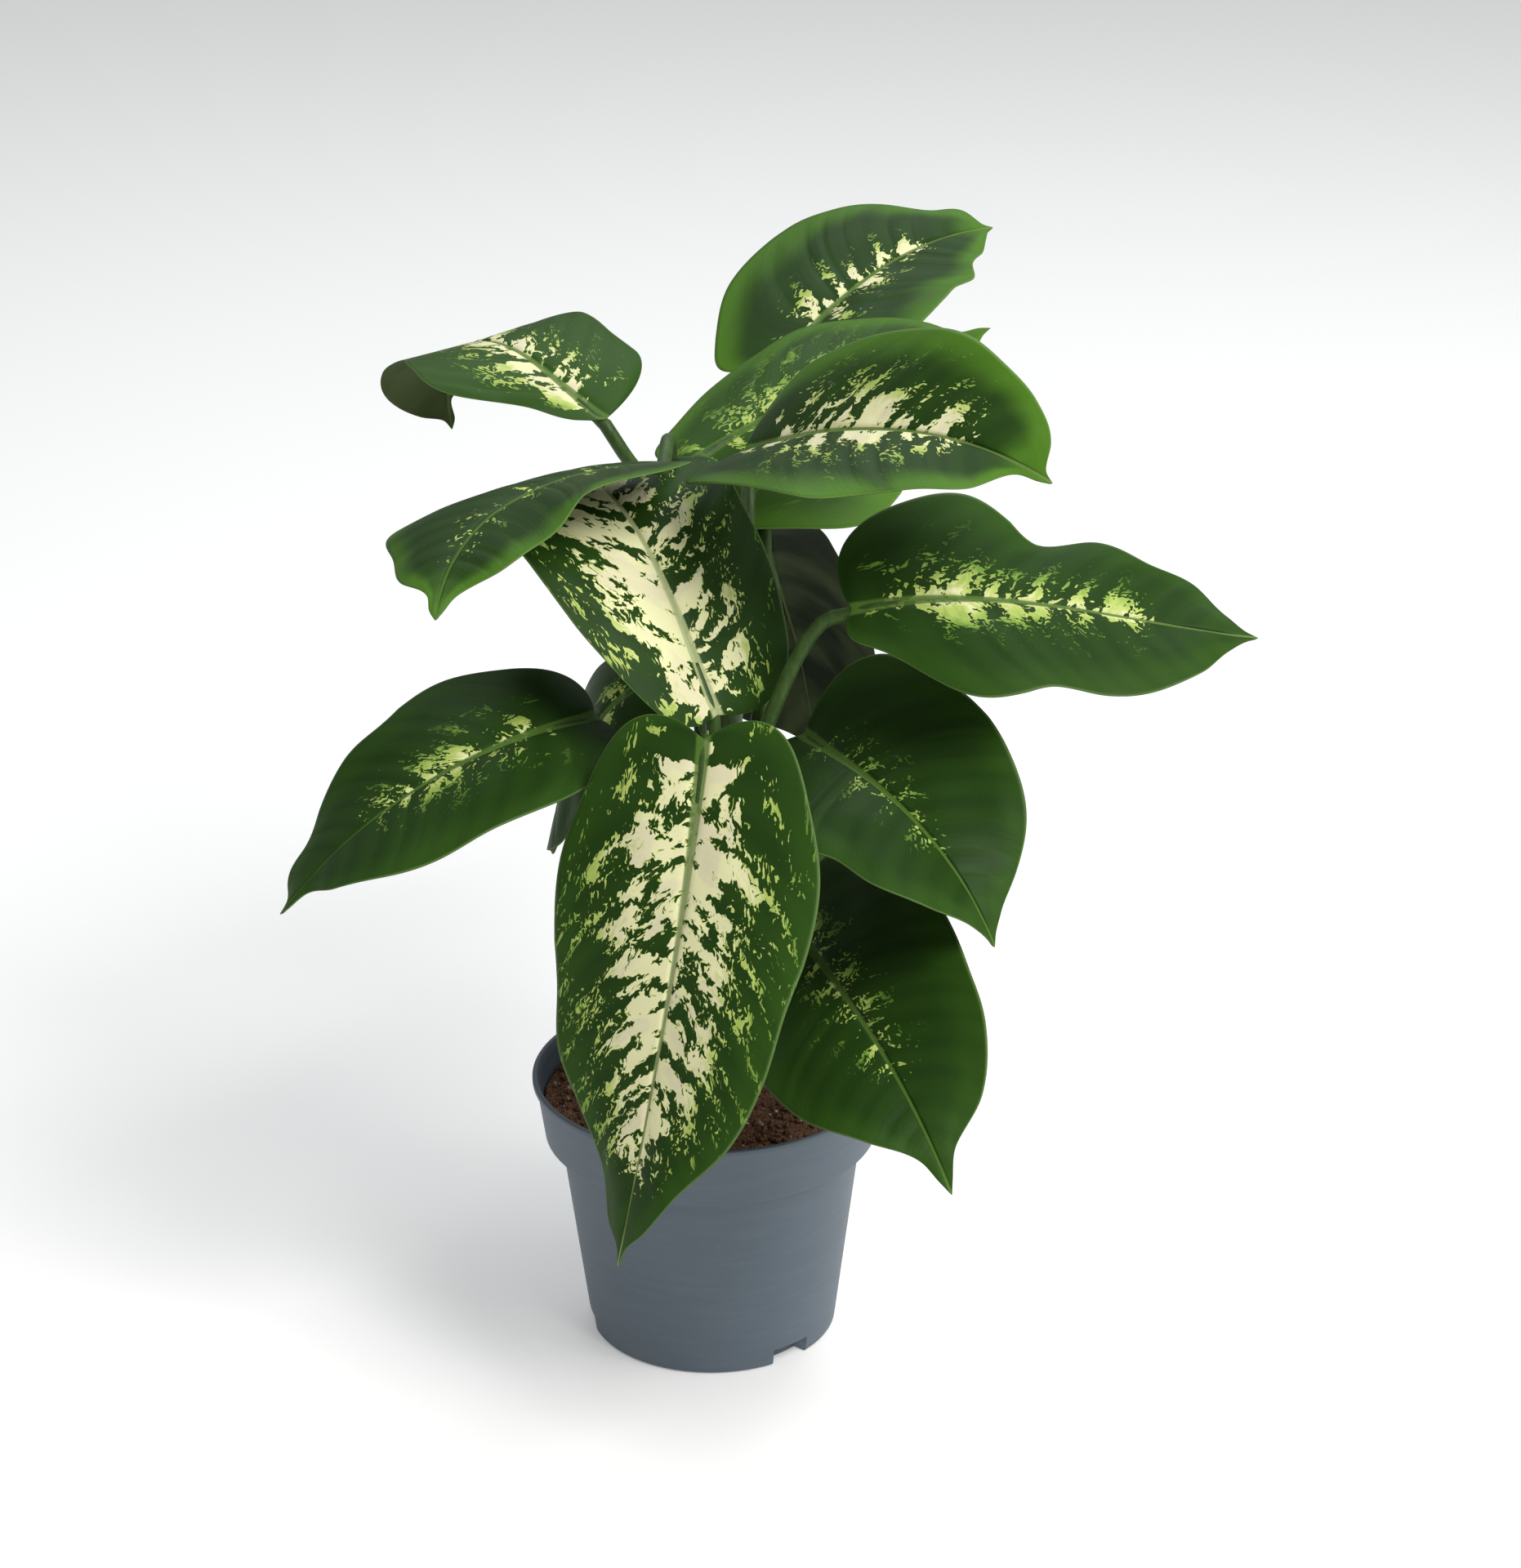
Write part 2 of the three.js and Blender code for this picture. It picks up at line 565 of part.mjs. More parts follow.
const potPlastic = new THREE.MeshStandardMaterial({ color: 0x5c6974, roughness: 0.55, metalness: 0 });
const soilCrumbs = new THREE.MeshStandardMaterial({ color: 0x4a3528, roughness: 1, metalness: 0 });
const caneGreen = new THREE.MeshStandardMaterial({ color: 0x6f8a4e, roughness: 0.5, metalness: 0 });
const leafGreen = new THREE.MeshStandardMaterial({ color: 0x47702f, roughness: 0.4, metalness: 0 });

const plant = new THREE.Group();
plant.name = "potted_dieffenbachia";

function addPiece(parent, name, solid, material) {
  const mesh = new THREE.Mesh(geometryOf(solid), material);
  mesh.name = name;
  parent.add(mesh);
}

addPiece(plant, "pot", potSolid(), potPlastic);
addPiece(plant, "soil", soilSolid(), soilCrumbs);
for (const [name, shoot] of Object.entries(SHOOTS)) addPiece(plant, name, stemTube(shoot), caneGreen);
for (const leaf of LEAVES) addPiece(plant, leaf.name, leafSolid(leaf), leafGreen);

export default plant;
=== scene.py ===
"""Looks of the potted dieffenbachia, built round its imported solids.

Lengths in the tables below are millimetres, and every mesh is made in metres in the part's own frame: the
origin is the middle of the pot's foot, +Z is up and -Y is the plant's front.
"""
import math
from collections import namedtuple
from functools import partial, reduce

import bmesh
import bpy
import numpy as np
from mathutils import Matrix, Vector


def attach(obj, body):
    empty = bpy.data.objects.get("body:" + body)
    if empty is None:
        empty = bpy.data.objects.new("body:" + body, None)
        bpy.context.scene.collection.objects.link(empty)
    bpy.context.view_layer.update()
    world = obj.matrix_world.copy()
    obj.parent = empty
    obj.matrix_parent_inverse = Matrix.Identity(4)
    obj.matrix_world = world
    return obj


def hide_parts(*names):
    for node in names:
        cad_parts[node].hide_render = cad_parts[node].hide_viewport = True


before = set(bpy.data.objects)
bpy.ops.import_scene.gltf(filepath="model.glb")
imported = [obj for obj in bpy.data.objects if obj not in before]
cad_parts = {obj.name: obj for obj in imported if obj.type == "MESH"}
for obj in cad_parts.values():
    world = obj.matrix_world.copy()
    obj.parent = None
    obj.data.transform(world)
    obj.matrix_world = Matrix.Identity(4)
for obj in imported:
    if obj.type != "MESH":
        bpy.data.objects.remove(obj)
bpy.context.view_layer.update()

MM = 0.001

# ---- What the camera sees ----

CAMERA_PLACE = (0.0176, -1.154, 0.6778)
CAMERA_PITCH = math.radians(22.6)  # how far it looks down
CAMERA_ROLL = math.radians(-0.38)
SENSOR_WIDTH = 36.0
FOCAL_LENGTH_PIXELS = 4678.9
PICTURE_HEIGHT_PIXELS = 1920
LENS = SENSOR_WIDTH * FOCAL_LENGTH_PIXELS / PICTURE_HEIGHT_PIXELS

# ---- The plant's sizes, the same as the solids' ----

GAP = 0.3
RIB_DEPTH = 2.4  # how far the midrib stands out under the blade at its base
DRIP_HALF_WIDTH = 2.2  # half width of the drip tip just before it ends
BASE_ROUNDING = 0.13  # share of the blade's length over which its base rounds out
BASE_OPENING = 0.94  # width at the very base over the first width in the table
WIDTH_STATIONS = [0.1, 0.22, 0.36, 0.5, 0.64, 0.78, 0.9]  # shares of the length for left and right
FOLD_STEPS = 8  # straight steps in which half a cross line bends down
SWEEP = dict(share=0.45, full_from=0.35, power=1.5)  # how cross lines sweep towards the tip
LOBE_END = 0.3  # share of the length at which the base lobes stop
WAVE_LAG = 0.17  # share of a wave by which the two margins ripple apart
RIB_RUN_OUT = 0.12  # share of the length along which the petiole fades into the midrib
PETIOLE_RADIUS = dict(sheath=4.0, blade=2.4)
PETIOLE_LEAVING = 15  # straight lengths at the petiole's two ends
PETIOLE_ARRIVING = 11
PETIOLE_LEAN = dict(outward=0.6, up=0.8)  # direction in which it leaves the cane
SHEATH_LENGTH = 12
SHEATH_WALL = dict(bottom=1.5, top=1.1)
STEM_TAPER = 0.22  # share of its radius that a cane loses from the soil to its top
FURLED_LEAF = [(0, 1), (0.25, 0.8), (0.6, 0.55), (0.92, 0.2), (1, 0.06)]  # share upwards, radius factor

SHOOTS = {
    "stem_main": dict(
        radius=7, scars=6, path=[[-4, 16, 40], [2, 33, 135], [5, 48, 235]], tip=[0, 62, 262],
    ),
    "stem_front": dict(
        radius=6.5, scars=5, path=[[0, -2, 40], [-2, -5, 110], [-2, -10, 172]], tip=[1, -32, 229],
    ),
    "stem_right": dict(
        radius=6, scars=4, path=[[30, 22, 40], [36, 24, 100], [38, 22, 150]], tip=[45, 30, 190],
    ),
}

# node is the height of a sheath's foot. The petiole runs through via and meets base along arrive. heading and
# pitch turn the midrib (degrees at base, middle and tip), roll the blade about it (base and tip). fold lifts
# both halves by the midrib and droop bends them down, the left one first. lobe is how far the base reaches
# back, wave the height, number and phase of the ripples, left and right the half widths at WIDTH_STATIONS.
LEAVES = {
    "leaf_front": dict(
        shoot="stem_front", node=136, via=[[-5, -34, 205]], arrive=[0, -0.3, 0.9],
        base=[0, -49, 233], length=166, heading=[-103, -112, -120], pitch=[-62, -62, -67],
        roll=[5, 27], fold=8, droop=[17, 23], lobe=14, wave=[1.2, 2.2, 0.1],
        left=[34, 45, 43, 42, 35, 21, 10], right=[36, 47, 45, 42, 30, 18, 10],
    ),
    "leaf_middle": dict(
        shoot="stem_front", node=156, via=[[0, -16, 200]], arrive=[0, 0, 1],
        base=[4, -23, 231], length=150, heading=[128, 120, 108], pitch=[55, 23, -87],
        roll=[8, -7], fold=8, droop=[21, 15], lobe=6, wave=[1, 2.5, 0.25],
        left=[27, 39, 46, 40, 33, 22, 10], right=[38, 43, 42, 41, 28, 17, 8],
    ),
    "leaf_folded": dict(
        shoot="stem_main", node=178, via=[[-5, 65, 232], [-11, 74, 270], [-12, 60, 296]], arrive=[0, -1, 0],
        base=[-13, 28, 299], length=133, heading=[201, 239, 268], pitch=[4, -6, -22],
        roll=[12, 4], fold=7, droop=[6, 34], lobe=7, wave=[1, 2.5, 0.2],
        left=[33, 35, 35, 34, 28, 19, 5], right=[20, 26, 33, 36, 25, 16, 4],
    ),
    "leaf_upper_left": dict(
        shoot="stem_main", node=142, via=[[-13, 58, 222], [-19, 91, 266]], arrive=[-0.5, 0.1, 0.8],
        base=[-34, 91, 294], length=116, heading=[140, 131, 131], pitch=[20, -3, -120],
        roll=[-11, 0], fold=5, droop=[7, 22], lobe=-5, wave=[0.6, 2, 0.5],
        left=[18, 39, 38, 31, 30, 24, 11], right=[38, 38, 39, 28, 22, 17, 2],
    ),
    "leaf_left": dict(
        shoot="stem_front", node=96, via=[[-22, -3, 188]], arrive=[-0.6, 0, 0.7],
        base=[-36, -3, 223], length=126, heading=[216, 207, 196], pitch=[4, -22, -52],
        roll=[-23, 6], fold=8, droop=[19, 21], lobe=9, wave=[1.2, 2.5, 0.3],
        left=[25, 33, 35, 34, 29, 18, 4], right=[30, 40, 35, 33, 28, 17, 11],
    ),
    "leaf_right": dict(
        shoot="stem_front", node=116,
        via=[[10, -15, 168], [13, -17, 200], [19, -18, 223]], arrive=[0.9, 0, 0.3],
        base=[47, -11, 262], length=133, heading=[-1, 4, 5], pitch=[14, -10, -9],
        roll=[35, 23], fold=7, droop=[15, 13], lobe=7, wave=[1.5, 2.5, 0.6],
        left=[37, 42, 26, 30, 25, 22, 8], right=[19, 39, 35, 34, 30, 20, 7],
    ),
    "leaf_upper_right": dict(
        shoot="stem_main", node=199, via=[[13, 54, 250], [14, 59, 272]], arrive=[0, -0.7, 0.7],
        base=[13, 40, 299], length=128, heading=[-53, -38, -31], pitch=[25, 9, -25],
        roll=[22, 30], fold=18, droop=[10, 13], lobe=9, wave=[1.2, 2, 0],
        left=[36, 42, 41, 37, 30, 22, 11], right=[33, 41, 48, 40, 31, 21, 4],
    ),
    "leaf_top": dict(
        shoot="stem_main", node=221, via=[[7, 73, 246], [15, 102, 268]], arrive=[0.3, 0.9, 0.4],
        base=[29, 155, 299], length=106, heading=[53, 42, 28], pitch=[26, 17, -3],
        roll=[-6, 22], fold=10, droop=[16, 17], lobe=22, wave=[0.7, 2.5, 0.7],
        left=[30, 47, 48, 40, 30, 18, 11], right=[36, 41, 36, 33, 23, 16, 7],
    ),
    "leaf_upper_back": dict(
        shoot="stem_main", node=160, via=[[2, 72, 222], [-4, 78, 256]], arrive=[0, 0.1, 1],
        base=[-2, 82, 284], length=115, heading=[36, 24, 13], pitch=[20, 16, 10],
        roll=[20, 30], fold=-6, droop=[28, 25], lobe=15, wave=[1, 2.5, 0.1],
        left=[23, 37, 44, 41, 32, 16, 3], right=[37, 52, 42, 37, 31, 21, 8],
    ),
    "leaf_lower_right": dict(
        shoot="stem_right", node=128, via=[[42, 17, 172]], arrive=[-0.3, -0.3, 0.9],
        base=[32, 15, 209], length=120, heading=[-66, -56, -43], pitch=[4, -14, -64],
        roll=[37, -9], fold=15, droop=[4, 10], lobe=10, wave=[1, 2.5, 0.5],
        left=[37, 40, 40, 36, 29, 18, 7], right=[20, 30, 41, 34, 31, 21, 7],
    ),
    "leaf_low_right": dict(
        shoot="stem_right", node=100, via=[[28, 10, 132]], arrive=[-0.1, -0.7, 0.6],
        base=[25, 4, 149], length=154, heading=[-76, -70, -61], pitch=[3, -8, -47],
        roll=[44, 15], fold=11, droop=[7, 20], lobe=9, wave=[1.2, 2.5, 0.5],
        left=[35, 43, 41, 37, 32, 21, 6], right=[19, 28, 37, 36, 30, 18, 5],
    ),
    "leaf_back": dict(
        shoot="stem_main", node=122, via=[[18, 66, 200], [22, 92, 234]], arrive=[0, 0.3, 0.9],
        base=[19, 98, 256], length=143, heading=[90, 69, 50], pitch=[-34, -57, -86],
        roll=[-19, -1], fold=-9, droop=[38, 35], lobe=9, wave=[1.2, 2, 0.3],
        left=[26, 33, 32, 33, 32, 26, 10], right=[23, 29, 34, 36, 32, 23, 10],
    ),
    "leaf_low_left": dict(
        shoot="stem_main", node=102, via=[[-18, 44, 178]], arrive=[-0.2, 0.3, 0.9],
        base=[-21, 62, 211], length=81, heading=[177, 160, 142], pitch=[-33, -64, -86],
        roll=[-31, -12], fold=0, droop=[25, 17], lobe=5, wave=[0.8, 2, 0.3],
        left=[24, 35, 33, 26, 23, 16, 7], right=[21, 31, 30, 28, 23, 16, 8],
    ),
}

DARK, MID, FRESH = (0.016, 0.046, 0.006), (0.026, 0.072, 0.008), (0.070, 0.180, 0.014)
CREAM, BLUSH = (0.80, 0.79, 0.46), (0.76, 0.72, 0.47)
YELLOW_GREEN, LIME = (0.46, 0.57, 0.14), (0.17, 0.31, 0.045)
OLIVE, SHADE = (0.050, 0.075, 0.024), (0.006, 0.012, 0.003)
RIB_GREEN, RIB_WHITE, MARGIN_GREEN = (0.085, 0.17, 0.026), (0.40, 0.45, 0.22), (0.16, 0.26, 0.08)
UNDERSIDE_PALE, UNDERSIDE_RIB = (0.12, 0.15, 0.06), (0.12, 0.17, 0.05)

# cover is how much of a blade the patches take beside the midrib, and spread the share of the half width by
# which they have nearly gone, on its left and its right half. tone shifts them from cream towards lime, speck
# is how many loose crumbs there are, span the shares of the length between which the pattern lies, relief how
# deep the veins lie and rib_pale how far the rib turns white. green is the ground colour, edge the one by the
# margin and the tip, and below the underside.
Look = namedtuple(
    "Look", "cover spread tone speck span relief rib_pale green edge below", defaults=(0, DARK, MID, OLIVE)
)
LOOKS = {
    "leaf_front": Look((0.66, 0.64), (0.88, 0.92), -0.02, 0.32, (0.02, 0.9), 0.5, 0.6),
    "leaf_middle": Look((0.72, 0.56), (1.15, 0.85), 0.0, 0.25, (0.0, 1.0), 0.6, 1, edge=DARK),
    "leaf_folded": Look((0.1, 0.1), (0.4, 0.4), 0.3, 0.1, (0.1, 0.9), 0.8, edge=FRESH),
    "leaf_upper_left": Look((0.7, 0.6), (0.6, 0.6), 0.1, 0.3, (0.1, 0.8), 0.7, 0.2, green=MID),
    "leaf_left": Look((0.40, 0.40), (0.5, 0.5), 0.45, 0.28, (0.12, 0.75), 0.7),
    "leaf_right": Look((0.56, 0.54), (0.6, 0.5), 0.5, 0.3, (0.02, 0.8), 0.5, 0.2),
    "leaf_upper_right": Look((0.62, 0.58), (0.7, 0.62), 0.1, 0.28, (0.1, 0.82), 0.8, 0.2, edge=FRESH),
    "leaf_top": Look((0.52, 0.48), (0.42, 0.42), 0.1, 0.22, (0.05, 0.8), 1.3, 0.2, edge=FRESH),
    "leaf_upper_back": Look((0.28, 0.25), (0.9, 0.8), 0.6, 0.3, (0.02, 0.7), 0.8, green=MID, edge=FRESH),
    "leaf_lower_right": Look((0.1, 0.15), (0.4, 0.4), 0.6, 0.2, (0.1, 0.8), 0.7),
    "leaf_low_right": Look((0.22, 0.3), (0.4, 0.4), 0.5, 0.24, (0.1, 0.8), 0.7),
    "leaf_back": Look((0.4, 0.4), (0.5, 0.5), 0.3, 0.2, (0.1, 0.8), 0.8, edge=DARK, below=SHADE),
    "leaf_low_left": Look((0.3, 0.3), (0.5, 0.5), 0.4, 0.2, (0.1, 0.8), 0.8, edge=DARK),
}

ROWS = 170  # rows of vertices along a blade
HALF_COLUMNS = 48  # columns of vertices over one of its halves
RIB_STEPS = 600
VEIN_SPACING = 11.0  # between the feet of two strong side veins, along the midrib
FINE_VEIN_SPACING = 2.4
CANE_RINGS_PER_SCAR, FURLED_RINGS, CANE_SIDES = 28, 60, 36
STALK_RINGS, UNDER_RIB_RINGS, STALK_SIDES, SHEATH_SIDES = 46, 15, 28, 48


# ---- Curves and frames ----


def smooth(low, high, x):
    """0 below low, 1 above high, and an S-shaped cubic between."""
    t = np.clip((x - low) / (high - low), 0, 1)
    return t * t * (3 - 2 * t)


def bell(x, width):
    """A bump of height 1 at x = 0 that has nearly gone at twice its width."""
    return np.exp(-((x / width) ** 2))


def unit(vectors):
    """Each vector divided by its length."""
    return vectors / np.maximum(np.linalg.norm(vectors, axis=-1, keepdims=True), 1e-12)


def through_three(values, s):
    """The quadratic in s that takes the three values at s = 0, 1/2 and 1."""
    base, middle, tip = values
    return base * (1 - s) * (1 - 2 * s) + middle * 4 * s * (1 - s) + tip * s * (2 * s - 1)


def hermite(t, h, start, start_slope, end, end_slope):
    """The cubic over a step of length h with the given ends and slopes, at the share t of the step."""
    return (
        (2 * t**3 - 3 * t**2 + 1) * start
        + (t**3 - 2 * t**2 + t) * h * start_slope
        + (3 * t**2 - 2 * t**3) * end
        + (t**3 - t**2) * h * end_slope
    )


def smooth_through(xs, ys, x):
    """A cubic through each pair of neighbouring points, with the slope at a point weighed from both sides."""
    xs, ys = np.asarray(xs, float), np.asarray(ys, float)
    gap = np.diff(xs)
    slope = np.diff(ys) / gap
    inner = (slope[:-1] * gap[1:] + slope[1:] * gap[:-1]) / (gap[:-1] + gap[1:])
    tangent = np.concatenate([slope[:1], inner, slope[-1:]])
    i = np.clip(np.searchsorted(xs, x, "right") - 1, 0, len(gap) - 1)
    return hermite((x - xs[i]) / gap[i], gap[i], ys[i], tangent[i], ys[i + 1], tangent[i + 1])


def waves(x, seed, lengths):
    """A smooth line from about -1 to 1: sines of the given wave lengths, their phases drawn by the seed."""
    phases = np.random.default_rng(seed).uniform(0, 2 * np.pi, len(lengths))
    return sum(np.sin(2 * np.pi * x / n + p) for n, p in zip(lengths, phases)) / len(lengths)


# ---- Meshes ----


def all_round(count):
    """Angles at even steps over a full turn."""
    return np.linspace(0, 2 * np.pi, count, endpoint=False)


def ring_quads(ring, following):
    """The four vertices of each quad between rings of vertex numbers and the rings that follow them."""
    corners = [ring, np.roll(ring, -1, axis=1), np.roll(following, -1, axis=1), following]
    return np.stack(corners, -1).reshape(-1, 4).tolist()


def closed_tube(rings):
    """Vertices and faces of a surface through rings of points, closed by a pole at each end.

    rings is (rows, points round, 3). Neighbouring rings are joined by quads, and the first and the last ring
    are joined to their mean point by triangles.
    """
    rows, around = rings.shape[:2]
    grid = np.arange(rows * around).reshape(rows, around)
    nxt = np.roll(grid, -1, axis=1)
    start = np.stack([nxt[0], grid[0], np.full(around, rows * around)], -1)
    end = np.stack([grid[-1], nxt[-1], np.full(around, rows * around + 1)], -1)
    points = np.concatenate([rings.reshape(-1, 3), rings[[0, -1]].mean(axis=1)])
    return points, ring_quads(grid[:-1], grid[1:]) + start.tolist() + end.tolist()


def closed_ring(rings):
    """Vertices and faces of a surface that closes on itself both ways, like a torus."""
    rows, around = rings.shape[:2]
    grid = np.arange(rows * around).reshape(rows, around)
    return rings.reshape(-1, 3), ring_quads(grid, np.roll(grid, -1, axis=0))


def joined(*shells):
    """Several closed shells in one list of vertices and faces."""
    points, faces, start = [], [], 0
    for shell_points, shell_faces in shells:
        points.append(shell_points)
        faces += [[i + start for i in face] for face in shell_faces]
        start += len(shell_points)
    return np.concatenate(points), faces


def placed(name, data):
    """A new object in the scene that shows the given data."""
    made = bpy.data.objects.new(name, data)
    bpy.context.scene.collection.objects.link(made)
    return made


def piece(name, shell, finish, nodes, attributes=None):
    """A mesh object with its normals outward, riding on the plant and standing for the given CAD nodes."""
    points, faces = shell
    mesh = bpy.data.meshes.new(name)
    mesh.from_pydata((points * MM).tolist(), [], faces)
    for key, values in (attributes or {}).items():
        mesh.attributes.new(key, "FLOAT", "POINT").data.foreach_set("value", np.asarray(values, np.float32))
    edit = bmesh.new()
    edit.from_mesh(mesh)
    bmesh.ops.recalc_face_normals(edit, faces=edit.faces)
    edit.to_mesh(mesh)
    edit.free()
    mesh.polygons.foreach_set("use_smooth", [True] * len(mesh.polygons))
    mesh.materials.append(finish)
    made = placed(name, mesh)
    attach(made, "root")
    if nodes:
        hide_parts(*nodes)


# ---- Materials ----


class Finish:
    """A Principled material whose inputs are worked out by small node expressions."""

    def __init__(self, name):
        self.material = bpy.data.materials.new(name)
        self.material.use_nodes = True
        self.tree = self.material.node_tree
        self.shader = next(n for n in self.tree.nodes if n.type == "BSDF_PRINCIPLED")

    def node(self, kind, inputs=(), **settings):
        """A new node with its settings made and its inputs fed."""
        made = self.tree.nodes.new(kind)
        for key, value in settings.items():
            setattr(made, key, value)
        for key, value in dict(inputs).items():
            self.feed(made.inputs[key], value)
        return made

    def feed(self, socket, value):
        """Links a socket to the input, or sets it to a plain value."""
        if isinstance(value, bpy.types.NodeSocket):
            self.tree.links.new(value, socket)
        elif socket.type == "RGBA" and len(value) == 3:
            socket.default_value = (*value, 1)
        else:
            socket.default_value = value

    def math(self, operation, a, b):
        return self.node("ShaderNodeMath", {0: a, 1: b}, operation=operation).outputs[0]

    def add(self, *terms):
        return reduce(partial(self.math, "ADD"), terms)

    def times(self, *terms):
        return reduce(partial(self.math, "MULTIPLY"), terms)

    def step(self, value, low, high):
        """0 where the value is below low, 1 where it is above high, smooth between."""
        inputs = {"Value": value, "From Min": low, "From Max": high}
        return self.node("ShaderNodeMapRange", inputs, interpolation_type="SMOOTHSTEP", clamp=True).outputs[0]

    def attribute(self, name):
        """A number that the piece carries at each vertex."""
        return self.node("ShaderNodeAttribute", attribute_name=name).outputs["Fac"]

    def object_place(self):
        """The point on the piece, in millimetres."""
        place = self.node("ShaderNodeTexCoord").outputs["Object"]
        return self.node("ShaderNodeVectorMath", {0: place, "Scale": 1 / MM}, operation="SCALE").outputs[0]

    def vector(self, x, y, z):
        return self.node("ShaderNodeCombineXYZ", {0: x, 1: y, 2: z}).outputs[0]

    def scaled(self, vector, factors):
        return self.node("ShaderNodeVectorMath", {0: vector, 1: factors}, operation="MULTIPLY").outputs[0]

    def shifted(self, vector, offset):
        return self.node("ShaderNodeVectorMath", {0: vector, 1: offset}, operation="ADD").outputs[0]

    def noise(self, vector, scale=1.0, detail=2.0, roughness=0.5, output="Fac"):
        """Smooth noise from 0 to 1, or three such noises at once as the output Color."""
        inputs = {"Vector": vector, "Scale": scale, "Detail": detail, "Roughness": roughness}
        return self.node("ShaderNodeTexNoise", inputs).outputs[output]

    def cells(self, vector, scale=1.0):
        """The distance to the nearest of many scattered points."""
        return self.node("ShaderNodeTexVoronoi", {"Vector": vector, "Scale": scale}).outputs["Distance"]

    def mix(self, share, a, b):
        """Colour a at share 0 and colour b at share 1."""
        inputs = {0: share, 6: a, 7: b}
        return self.node("ShaderNodeMix", inputs, data_type="RGBA").outputs[2]

    def bump(self, height, distance, strength):
        """Tilts the surface's shading as if it were raised by height times distance, in metres."""
        inputs = {"Height": height, "Distance": distance, "Strength": strength}
        self.feed(self.shader.inputs["Normal"], self.node("ShaderNodeBump", inputs).outputs[0])

    def done(self, **sockets):
        """The material, after its shader's sockets are fed. An underscore stands for a space in a name."""
        for name, value in sockets.items():
            self.feed(self.shader.inputs[name.replace("_", " ")], value)
        return self.material


